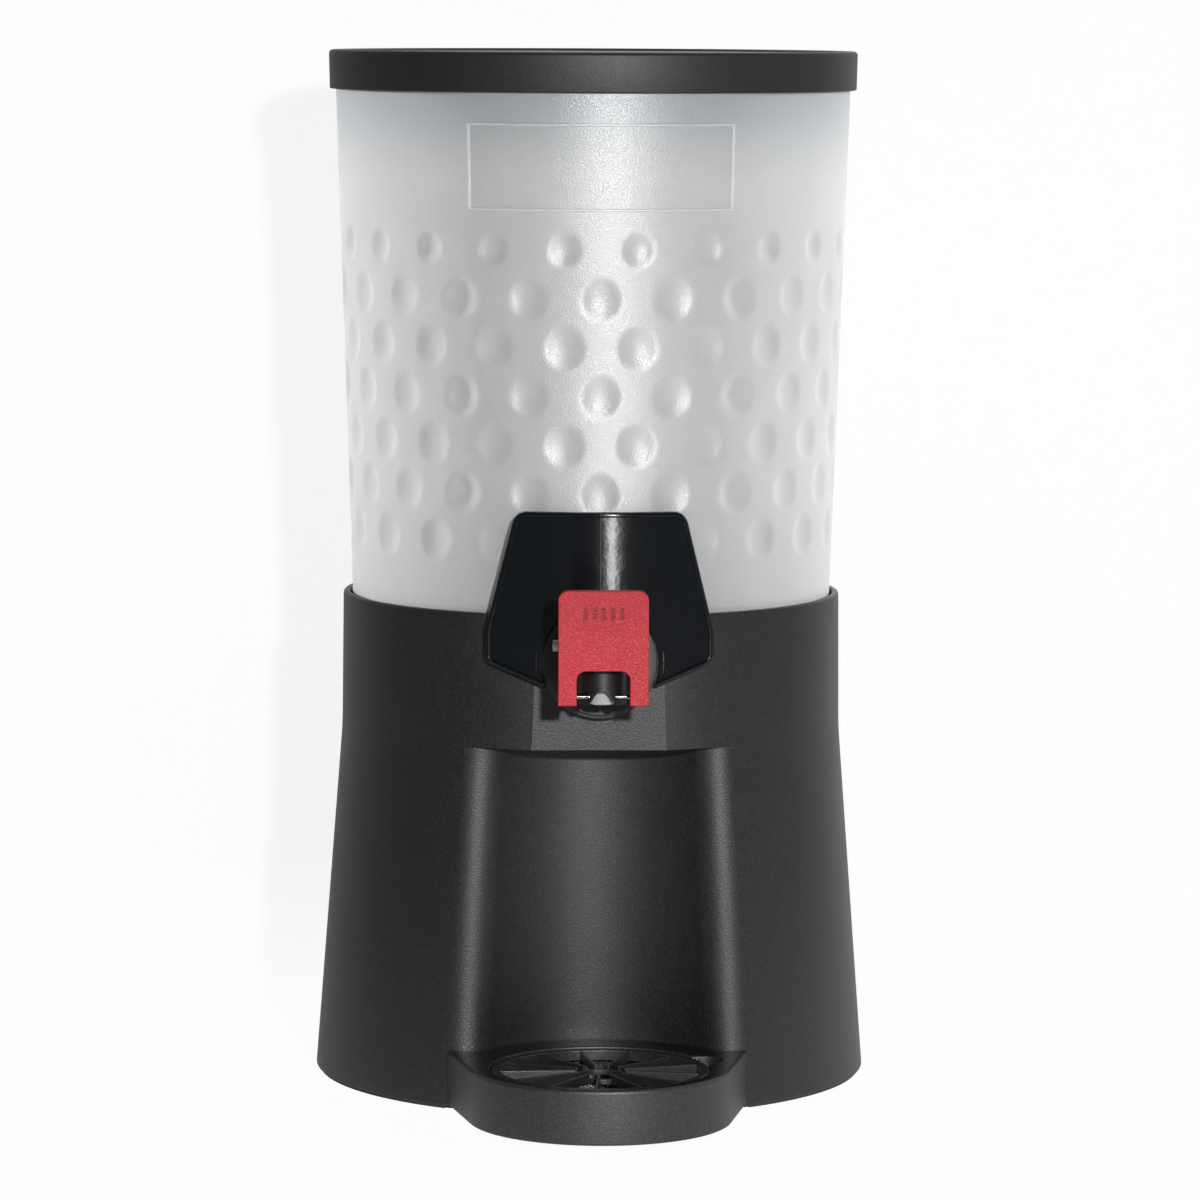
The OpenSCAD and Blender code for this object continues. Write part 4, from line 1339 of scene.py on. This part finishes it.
@dataclass
class Lid:
    """Cap with a skirt, a shallow dish on top and a locating ring inside, in millimetres."""

    outer_r: float = 109.53
    inner_r: float = 107.53
    ring_r: float = 103.2
    top_z: float = 426.0
    seat_z: float = 423.0
    foot_z: float = 410.0
    dish: float = 1.0
    dish_edge: float = 6.6
    rim_edge: float = 5.4
    draft: float = 0.4
    ring_h: float = 6.0
    ring_w: float = 2.0
    steps: int = 220

    def profile(self) -> list[Point]:
        """Profile from the middle of the top, down outside and back inside.

        Returns:
            Points as radius and height.
        """
        r, s, low = self.outer_r, self.seat_z, self.foot_z
        dish, bottom = self.top_z - self.dish, self.seat_z - self.ring_h
        ring_in = self.ring_r - self.ring_w
        return rounded([
            (0.0, dish, 0.0), (r - self.dish_edge, dish, 0.8), (r - self.rim_edge, self.top_z, 0.6),
            (r, self.top_z, 1.6), (r - self.draft, low, 0.5), (self.inner_r, low, 0.5), (self.inner_r, s, 0.4),
            (self.ring_r, s, 0.3), (self.ring_r, bottom, 0.5), (ring_in, bottom, 0.5), (ring_in, s, 0.3), (0.0, s, 0.0),
        ], False)

    def build(self) -> None:
        """Turn the cap and dress it."""
        Piece("cap", Body.COVER, "lid_plastic", LID_BLACK, ("lid",)).make(turned(self.profile(), self.steps))


@dataclass
class Tap:
    """Shield, collar, tap body, bonnet, pins and lever, in millimetres."""

    tap_z: float = 183.2
    shield_r: float = 105.2
    plate_r: float = 108.0
    bead: float = 0.9
    bead_w: float = 2.0
    bead_start: float = 0.2
    bead_steps: tuple[Point, ...] = (
        (0.12, 0.62), (0.18, 0.9), (0.2, 1.0), (0.22, 1.0), (0.14, 0.8), (0.07, 0.3), (0.07, 0.0)
    )
    folds: int = 18
    fold_step: float = 2.5
    hole_r: float = 23.8
    hole_front: float = 105.0
    hole_deep: float = 16.0
    shield_low: float = 173.5
    shield_corners: tuple[tuple[float, float, float], ...] = (
        (34.0, 243.5, 6.0), (46.0, 195.0, 8.0), (46.0, 182.5, 4.2)
    )
    shield_foot_ease: float = 2.0
    tab_r: float = 22.8
    tab_t: float = 2.2
    tab_wall_r: float = 22.4
    collar_r: float = 23.2
    collar_back: float = 103.1
    collar_front: float = 105.6
    shoulder_r: float = 13.05
    tab_back: float = 100.9
    lever_front: float = -144.7
    lever_ease: float = 1.1
    bars_half: float = 8.2
    bars_low: float = 204.0
    bars_high: float = 210.0
    spring_end: Sequence[float] = (0.0, -127.0, 203.0)
    spring_keep: float = 0.52

    def on_tap(self) -> Matrix:
        """Move that lays the Z axis along the tap, pointing to the front."""
        return Matrix.Translation((0.0, 0.0, self.tap_z)) @ Matrix.Rotation(math.radians(90.0), 4, "X")

    def shield_outline(self) -> list[Vector]:
        """Outline of the shield as seen from the front, before its round cut-out.

        Returns:
            The points in X and Z.
        """
        corners = [*self.shield_corners, (self.collar_r, self.shield_low, self.shield_foot_ease)]
        first, last = ((0.0, corners[i][1], 0.0) for i in (0, -1))
        half = rounded([first, *corners, last], False, 7)[1:-1]
        left = [(-x, z) for x, z in reversed(half)]
        return [Vector((x, 0.0, z)) for x, z in half + left]

    def shield_hole(self) -> bmesh.types.BMesh:
        """Tool for the shield's round cut-out.

        Returns:
            The tool, along the tap.
        """
        tool = bmesh.new()
        place = self.on_tap() @ Matrix.Translation((0.0, 0.0, self.hole_front))
        bmesh.ops.create_cone(
            tool, cap_ends=True, segments=128, radius1=self.hole_r, radius2=self.hole_r, depth=self.hole_deep,
            matrix=place,
        )
        return tool

    def wrap(
        self, verts: Sequence[bmesh.types.BMVert], radius: float, rise: bmesh.types.BMLayerItem | None
    ) -> None:
        """Lay points on a round wall.

        Args:
            verts: The points.
            radius: The wall's radius.
            rise: The layer that holds each point's height above the wall, or none.
        """
        for vert in verts:
            reach = radius + (vert[rise] if rise else 0.0)
            vert.co.y = -math.sqrt(reach * reach - vert.co.x ** 2)

    def shield_plate(self) -> bmesh.types.BMesh:
        """Curved plate with the rounded bead along its edge.

        Returns:
            The closed plate.
        """
        bm = bmesh.new()
        rise = bm.verts.layers.float.new("rise")
        face = bmesh.ops.edgeloop_fill(bm, edges=wire_loop(bm, self.shield_outline()))["faces"][0]
        for vert in bm.verts:
            vert[rise] = self.bead_start * self.bead
        for width, share in self.bead_steps:
            bmesh.ops.inset_region(
                bm, faces=[face], thickness=width * self.bead_w, use_even_offset=True, use_boundary=True
            )
            for vert in face.verts:
                vert[rise] = share * self.bead
        for i in range(-self.folds, self.folds + 1):
            geom = list(bm.verts) + list(bm.edges) + list(bm.faces)
            place = (self.fold_step * i, 0.0, 0.0)
            bmesh.ops.bisect_plane(bm, geom=geom, dist=0.0001, plane_co=place, plane_no=(1.0, 0.0, 0.0))
        back = bmesh.ops.extrude_face_region(bm, geom=list(bm.faces))["geom"]
        behind = {v for v in back if isinstance(v, bmesh.types.BMVert)}
        self.wrap([v for v in bm.verts if v not in behind], self.plate_r, rise)
        self.wrap(list(behind), self.shield_r, None)
        bmesh.ops.recalc_face_normals(bm, faces=bm.faces)
        return bm

    def shield_tab(self) -> bmesh.types.BMesh:
        """Flat tab behind the collar and the short wall around the cut-out.

        Returns:
            The two rings.
        """
        back, front = self.tab_back, self.tab_back + self.tab_t
        tab = ring((self.shoulder_r, self.tab_r), (back, front), (0.3,) * 4, 96, 3)
        start = math.degrees(math.asin((self.shield_low - self.tap_z) / (self.hole_r + 1.0)))
        inner, outer, low = self.hole_r, self.hole_r + self.bead_w, self.tab_wall_r
        end = self.hole_front
        step = [(low, back), (outer, back), (outer, end), (inner, end), (inner, front), (low, front)]
        wall = turned(step, 72, True, 180.0 - 2.0 * start)
        moved(wall, Matrix.Rotation(math.radians(start), 4, "Z"))
        return moved(joined([tab, wall]), self.on_tap())

    def collar(self) -> bmesh.types.BMesh:
        """Round matte ring under the flange."""
        radii, faces = (self.shoulder_r, self.collar_r), (self.collar_back, self.collar_front)
        return moved(ring(radii, faces, (0.3, 0.5, 0.9, 0.3), 128), self.on_tap())

    def on_plate_edge(self, edge: bmesh.types.BMEdge) -> bool:
        """Whether an edge runs around the front of the lever's plate, outside the grip bars."""
        bars = all(abs(v.co.x) < self.bars_half and self.bars_low < v.co.z < self.bars_high for v in edge.verts)
        return not bars and all(v.co.y < self.lever_front + 0.05 for v in edge.verts)

    def build(self) -> None:
        """Make every visible piece of the tap."""
        shield = Piece("shield", Body.VESSEL, "gloss_black", SHIELD_GLOSS, ("tap_shield",), 50.0, True)
        shield.make(self.shield_plate(), self.shield_hole())
        Piece("shield_tab", Body.VESSEL, "gloss_black", SHIELD_GLOSS).make(self.shield_tab())
        Piece("collar", Body.VESSEL, "collar_plastic", COLLAR_GREY, ("tap_collar",)).make(self.collar())
        for name, node, body, slot, finish, ease in (
            ("tap_moulding", "tap_body", Body.VESSEL, "satin_black", TAP_BLACK, 0.3),
            ("tap_bonnet", "bonnet", Body.VESSEL, "satin_black", TAP_BLACK, 0.35),
            ("lever_moulding", "tap_lever", Body.LEVER, "red_plastic", LEVER_RED, 0.2),
            ("cup", "seat_cup", Body.STEM, "grey_silicone", SILICONE, 0.3),
            ("pin_and_head", "link_pin", Body.STEM, "steel", ZINC, 0.25),
            ("stub_pins", "pivot_pins", Body.VESSEL, "steel", STEEL, 0.2),
        ):
            bm = solid_of(node)
            if body is Body.LEVER:
                ease_edges(bm, self.lever_ease, 5, wanted=self.on_plate_edge)
            ease_edges(bm, ease)
            Piece(name, body, slot, finish, (node,), 40.0, True).make(bm)
        spring = Piece("spring_coil", Body.VESSEL, "steel", STEEL, ("return_spring",), 60.0)
        coil = spring.make(solid_of("return_spring"))
        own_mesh(coil)


@dataclass
class Tray:
    """Drip tray with its round recess and the grille in it, in millimetres."""

    base: Base
    top: float = 24.0
    top_ease: float = 1.4
    side_ease: tuple[Point, ...] = (
        (23.9, 0.85), (23.55, 0.35), (23.0, 0.08), (22.4, 0.0), (12.0, 0.0), (3.0, 0.0), (2.3, 0.25), (2.0, 0.8)
    )
    tongue_low: tuple[float, ...] = (-18.0, -73.0, 6.0)
    tongue_high: tuple[float, ...] = (18.0, -62.6, 9.0)
    tongue_ease: float = 0.5
    gap: float = 0.6
    front_r: float = 53.0
    front_set: float = 127.7
    centre_set: float = 132.3
    recess_r: float = 44.0
    well_r: float = 40.5
    ledge_z: float = 19.0
    floor_z: float = 5.0
    notch_r: float = 8.0
    notch_angle: float = 20.0
    nose_steps: int = 40
    side_steps: int = 6
    lip_steps: int = 14
    back_steps: int = 24
    recess_steps: int = 180
    blades: int = 13
    blade_t: float = 1.3
    grille_h: float = 4.4
    ring_w: float = 3.4
    ring_gap: float = 0.5
    hub_r: float = 9.5
    hub_w: float = 1.8
    hub_h: float = 2.2
    blade_root: float = 0.4
    blade_tip: float = 1.0
    first_blade: float = 16.0
    blade_low: float = 0.02
    blade_sink: float = 0.4
    blade_ease: float = 0.35

    def side(self) -> tuple[Vector, Vector]:
        """Straight side of the plan, right: its corner at the base and where it touches the round front.

        Returns:
            The two ends in plan.
        """
        lip = Vector(self.base.lip(self.top))
        corner = lip * (self.base.radius(self.top) - self.gap) / lip.length
        centre = Vector((0.0, -self.front_set))
        away = corner - centre
        angle = math.atan2(away.y, away.x) - math.acos(self.front_r / away.length)
        return corner, centre + self.front_r * Vector((math.cos(angle), math.sin(angle)))

    def outline(self, z: float, drawn_in: float) -> list[Vector]:
        """Outline of the tray at a height.

        Args:
            z: The height.
            drawn_in: How far it is drawn in, for eased edges.

        Returns:
            The outline's points.
        """
        corner, touch = self.side()
        lip = Vector(self.base.lip(z))
        grip = self.base.lip_r + self.gap + drawn_in
        way = (corner - touch).normalized()
        normal = Vector((-way.y, way.x))
        start = touch + normal * drawn_in
        back = start - lip
        run = -back.dot(way) - math.sqrt(max(back.dot(way) ** 2 - back.length_squared + grip * grip, 0.0))
        meet = start + way * run
        first = math.degrees(math.atan2(meet.y - lip.y, meet.x - lip.x))
        hollow = Vector((0.0, -self.base.niche_set))
        last = math.degrees(math.atan2(hollow.y - lip.y, hollow.x - lip.x))
        inner = math.degrees(math.atan2(lip.y - hollow.y, lip.x - hollow.x))
        centre = (0.0, -self.front_set)
        low = math.degrees(math.atan2(touch.y + self.front_set, touch.x))
        nose = arc(centre, self.front_r - drawn_in, -90.0, low, self.nose_steps)
        edge = [tuple(start.lerp(meet, i / self.side_steps)) for i in range(1, self.side_steps + 1)]
        lips = arc(tuple(lip), grip, first, last, self.lip_steps)[1:]
        reach = self.base.niche_r - self.gap - drawn_in
        hull = arc((0.0, -self.base.niche_set), reach, inner, 90.0, self.back_steps)[1:]
        half = nose + edge + lips + hull
        left = [(-x, y) for x, y in reversed(half)][1:-1]
        return [Vector((x, y, z)) for x, y in half + left]

    def recess(self, z: float, radius: float, grown: float, notched: bool) -> list[Vector]:
        """Round outline of the recess or the well, with the finger notch or without.

        Args:
            z: The height.
            radius: The radius.
            grown: How far the outline is grown, for eased edges.
            notched: Whether the finger notch shows.

        Returns:
            The outline's points.
        """
        made = []
        for i in range(self.recess_steps):
            a = math.radians(FULL_TURN * i / self.recess_steps - 90.0)
            off = a - math.radians(self.notch_angle)
            reach = radius + grown
            notch = self.notch_r + grown
            if notched and math.cos(off) > 0.0 and abs(self.recess_r * math.sin(off)) < notch:
                bulge = self.recess_r * math.cos(off) + math.sqrt(notch ** 2 - (self.recess_r * math.sin(off)) ** 2)
                reach = max(reach, bulge)
            made.append(Vector((reach * math.cos(a), reach * math.sin(a) - self.centre_set, z)))
        return made

    def basin(self) -> bmesh.types.BMesh:
        """Recess, ledge, well and floor, grown down from the tray's top.

        Returns:
            The skin, open at the top.
        """
        loft = Loft(self.recess(self.top, self.recess_r, 0.8, True))
        for z, grown in ((self.top - 0.25, 0.3), (self.top - 0.8, 0.0), (self.ledge_z, 0.0)):
            loft.grow(self.recess(z, self.recess_r, grown, True))
        floor = self.floor_z
        ledge = [(self.ledge_z, 0.5), (self.ledge_z - 0.5, 0.0)]
        for z, grown in ledge + [(floor + 2.0, 0.0), (floor + 0.6, -0.6), (floor, -2.0)]:
            loft.grow(self.recess(z, self.well_r, grown, False))
        loft.close()
        return loft.bm

    def shell(self) -> bmesh.types.BMesh:
        """Outside of the tray, its flat top and its basin.

        Returns:
            The closed tray.
        """
        loft = Loft(self.outline(self.top, self.top_ease))
        for z, drawn in self.side_ease:
            loft.grow(self.outline(z, drawn))
        loft.close()
        whole = joined([loft.bm, self.basin()])
        rims = [e for e in whole.edges if e.is_boundary]
        bmesh.ops.triangle_fill(whole, use_beauty=True, edges=rims, normal=(0.0, 0.0, 1.0))
        return joined([whole, block(self.tongue_low, self.tongue_high, self.tongue_ease)])

    def grille(self) -> bmesh.types.BMesh:
        """Ring, hub and radial blades of the grille.

        Returns:
            The grille.
        """
        outer, hub, wide = self.recess_r - self.ring_gap, self.hub_r, self.blade_t / 2.0
        inner = outer - self.ring_w
        parts = [
            ring((inner, outer), (0.0, self.grille_h), (0.3, 0.4, 0.7, 0.7), 160),
            ring((hub, hub + self.hub_w), (0.0, self.hub_h), (0.3, 0.3, 0.4, 0.4), 72),
        ]
        low = (hub + self.blade_root, -wide, self.blade_low)
        high = (inner + self.blade_tip, wide, self.grille_h - self.blade_sink)
        for i in range(self.blades):
            turn = math.radians(self.first_blade + FULL_TURN * i / self.blades)
            parts.append(moved(block(low, high, self.blade_ease), Matrix.Rotation(turn, 4, "Z")))
        return moved(joined(parts), Matrix.Translation((0.0, -self.centre_set, self.ledge_z)))

    def build(self) -> None:
        """Make the tray and the grille."""
        tray = Piece("tray_moulding", Body.TRAY, "base_plastic", TRAY_GREY, ("drip_tray",), eased=True)
        tray.make(self.shell())
        grille = Piece("grille_moulding", Body.GRILLE, "satin_black", GRILLE_BLACK, ("drip_grille",), eased=True)
        grille.make(self.grille())


@dataclass
class InnerParts:
    """Solids that stay as they are and only get their finish."""

    finishes: tuple[tuple[str, Finish], ...] = (
        ("foot_ring", BLACK_RUBBER), ("outer_gasket", BLACK_RUBBER), ("inner_gasket", BLACK_RUBBER),
        ("stem_ring", BLACK_RUBBER), ("shank_nut", TAP_BLACK), ("stem_gland", GLAND_PALE),
        ("valve_stem", STEEL), ("pin_clip", STEEL),
    )

    def dress(self) -> None:
        """Give each solid its finish."""
        for node, finish in self.finishes:
            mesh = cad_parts[node].data
            mesh.materials.clear()
            mesh.materials.append(finish.material())
            LOG.info("%s: finish %s", node, finish.name)


@dataclass(frozen=True)
class Lamp:
    """One round area lamp that faces the dispenser, placed in degrees and metres."""

    name: str
    azimuth: float
    elevation: float
    away: float
    size: float
    watts: float
    aim_z: float = 0.22

    def stand(self) -> bpy.types.Object:
        """Make the lamp and set it where it belongs.

        Returns:
            The lamp.
        """
        light = bpy.data.lights.new(self.name, "AREA")
        light.shape = "DISK"
        light.size = self.size
        light.energy = self.watts
        lamp = bpy.data.objects.new(self.name, light)
        a, e = math.radians(self.azimuth), math.radians(self.elevation)
        way = Vector((math.sin(a) * math.cos(e), -math.cos(a) * math.cos(e), math.sin(e)))
        lamp.location = Vector((0.0, 0.0, self.aim_z)) + way * self.away
        lamp.rotation_mode = "QUATERNION"
        lamp.rotation_quaternion = (-way).to_track_quat("-Z", "Y")
        bpy.context.scene.collection.objects.link(lamp)
        return lamp


@dataclass
class Studio:
    """Pale floor and backdrop, one small key lamp, soft fill, the light through the container and the camera."""

    lens: float = 165.0
    sensor: float = 36.0
    sight: float = 50.0
    away: float = 2.2906
    height: float = 0.4445
    azimuth: float = -2.0
    pitch: float = 6.17
    roll: float = 0.26
    heading: float = 0.094
    floor_half: float = 9.0
    sheet_half: float = 6.0
    wall_y: float = 0.19
    wall_top: float = 3.2
    wall_bend: float = 0.05
    fill: float = 0.05
    lamps: tuple[Lamp, ...] = (
        Lamp("key", azimuth=7.0, elevation=12.6, away=2.3, size=0.10, watts=40.0),
        Lamp("back_fill", azimuth=165.0, elevation=30.0, away=2.6, size=1.2, watts=14.0),
        Lamp("right_fill", azimuth=82.0, elevation=16.0, away=2.2, size=1.4, watts=3.0),
    )
    behind: Lamp = Lamp("behind_wall", azimuth=180.0, elevation=8.0, away=2.2, size=1.0, watts=22.0)
    beams: tuple[Lamp, ...] = (
        Lamp("right_edge", azimuth=117.0, elevation=8.0, away=1.0, size=0.12, watts=0.32),
        Lamp("left_edge", azimuth=-117.0, elevation=8.0, away=1.0, size=0.12, watts=0.43),
    )
    beam_tall: float = 0.7
    beam_spread: float = 6.0
    beam_shift: float = 0.08
    inside_watts: float = 0.10
    inside_soft: float = 0.04
    inside_z: float = 0.35

    def sheet(self, name: str, line: Sequence[Point]) -> None:
        """Lay one wide sheet of paper along a line.

        Args:
            name: The sheet's name.
            line: Points as Y and Z, from the front to the back.
        """
        bm = bmesh.new()
        edges = wire_loop(bm, [Vector((-self.sheet_half, y, z)) for y, z in line], False)
        drawn = bmesh.ops.extrude_edge_only(bm, edges=edges)["geom"]
        across = Vector((2.0 * self.sheet_half, 0.0, 0.0))
        bmesh.ops.translate(bm, vec=across, verts=[v for v in drawn if isinstance(v, bmesh.types.BMVert)])
        if sum(f.normal.z - f.normal.y for f in bm.faces) < 0.0:
            bmesh.ops.reverse_faces(bm, faces=bm.faces)
        mesh = bpy.data.meshes.new(name)
        bm.to_mesh(mesh)
        bm.free()
        mesh.shade_smooth()
        mesh.materials.append(WhitePaper().material())
        made = bpy.data.objects.new(name, mesh)
        bpy.context.scene.collection.objects.link(made)

    def sweep(self) -> None:
        """Floor, and the backdrop that curves up behind the dispenser."""
        self.sheet("paper_floor", [(-self.floor_half, 0.0), (self.floor_half, 0.0)])
        bend = arc((self.wall_y - self.wall_bend, self.wall_bend), self.wall_bend, -89.0, 0.0, 12)
        self.sheet("paper_wall", bend + [(self.wall_y, self.wall_top)])

    def inside_lamp(self) -> bpy.types.Object:
        """Small lamp inside the container.

        Returns:
            The lamp.
        """
        glow = bpy.data.lights.new("inside_wall", "POINT")
        glow.energy = self.inside_watts
        glow.shadow_soft_size = self.inside_soft
        lamp = bpy.data.objects.new("inside_wall", glow)
        lamp.location = (0.0, 0.0, self.inside_z)
        bpy.context.scene.collection.objects.link(lamp)
        return lamp

    def beam(self, plan: Lamp) -> bpy.types.Object:
        """Upright narrow lamp that grazes one side of the container from behind.

        Args:
            plan: The lamp's place, width and power.

        Returns:
            The lamp.
        """
        lamp = plan.stand()
        lamp.data.shape = "RECTANGLE"
        lamp.data.size_y = self.beam_tall
        lamp.data.spread = math.radians(self.beam_spread)
        a, side = math.radians(abs(plan.azimuth)), math.copysign(1.0, plan.azimuth)
        lamp.location += Vector((-side * math.cos(a), -math.sin(a), 0.0)) * self.beam_shift
        return lamp

    def through_light(self, wall: Sequence[bpy.types.Object]) -> None:
        """Stand in for the light that comes through the frosted wall, at its sides and on its inside.

        Args:
            wall: The pieces that it falls on, and no others.
        """
        group = bpy.data.collections.new("frosted_wall_pieces")
        for piece in wall:
            group.objects.link(piece)
        for lamp in (self.inside_lamp(), self.behind.stand(), *(self.beam(plan) for plan in self.beams)):
            lamp.visible_glossy = False
            lamp.visible_camera = False
            lamp.light_linking.receiver_collection = group

    def camera(self) -> None:
        """Set the camera where the photograph was taken from."""
        data = bpy.data.cameras.new("camera")
        data.lens = self.lens
        data.sensor_width = self.sensor
        data.clip_end = self.sight
        eye = bpy.data.objects.new("camera", data)
        a, p = math.radians(self.azimuth), math.radians(self.pitch)
        h, r = math.radians(self.heading - self.azimuth), math.radians(self.roll)
        ahead = Vector((math.sin(h) * math.cos(p), math.cos(h) * math.cos(p), -math.sin(p)))
        level = Vector((math.cos(h), -math.sin(h), 0.0))
        upright = level.cross(ahead)
        right = level * math.cos(r) + upright * math.sin(r)
        up = upright * math.cos(r) - level * math.sin(r)
        turn = Matrix((right, up, -ahead)).transposed().to_4x4()
        place = (self.away * math.sin(a), -self.away * math.cos(a), self.height)
        eye.matrix_world = Matrix.Translation(place) @ turn
        bpy.context.scene.collection.objects.link(eye)
        bpy.context.scene.camera = eye

    def world(self) -> None:
        """Even grey surroundings for a soft fill."""
        world = bpy.data.worlds.new("soft_fill")
        world.use_nodes = True
        sockets = world.node_tree.nodes["Background"].inputs
        sockets["Color"].default_value = (1.0, 1.0, 1.0, 1.0)
        sockets["Strength"].default_value = self.fill
        bpy.context.scene.world = world

    def build(self) -> None:
        """Set up the camera, the stage, the light and the plain colours."""
        self.camera()
        self.sweep()
        for plan in self.lamps:
            plan.stand()
        self.world()
        bpy.context.scene.view_settings.view_transform = "Standard"


def main() -> None:
    """Build the camera and stage, then every piece of the dispenser."""
    logging.basicConfig(level=logging.INFO, format="%(message)s")
    studio = Studio()
    studio.build()
    base = Base()
    base.build()
    studio.through_light(Container().build())
    Lid().build()
    Tap().build()
    Tray(base).build()
    InnerParts().dress()


if __name__ == "__main__":
    main()
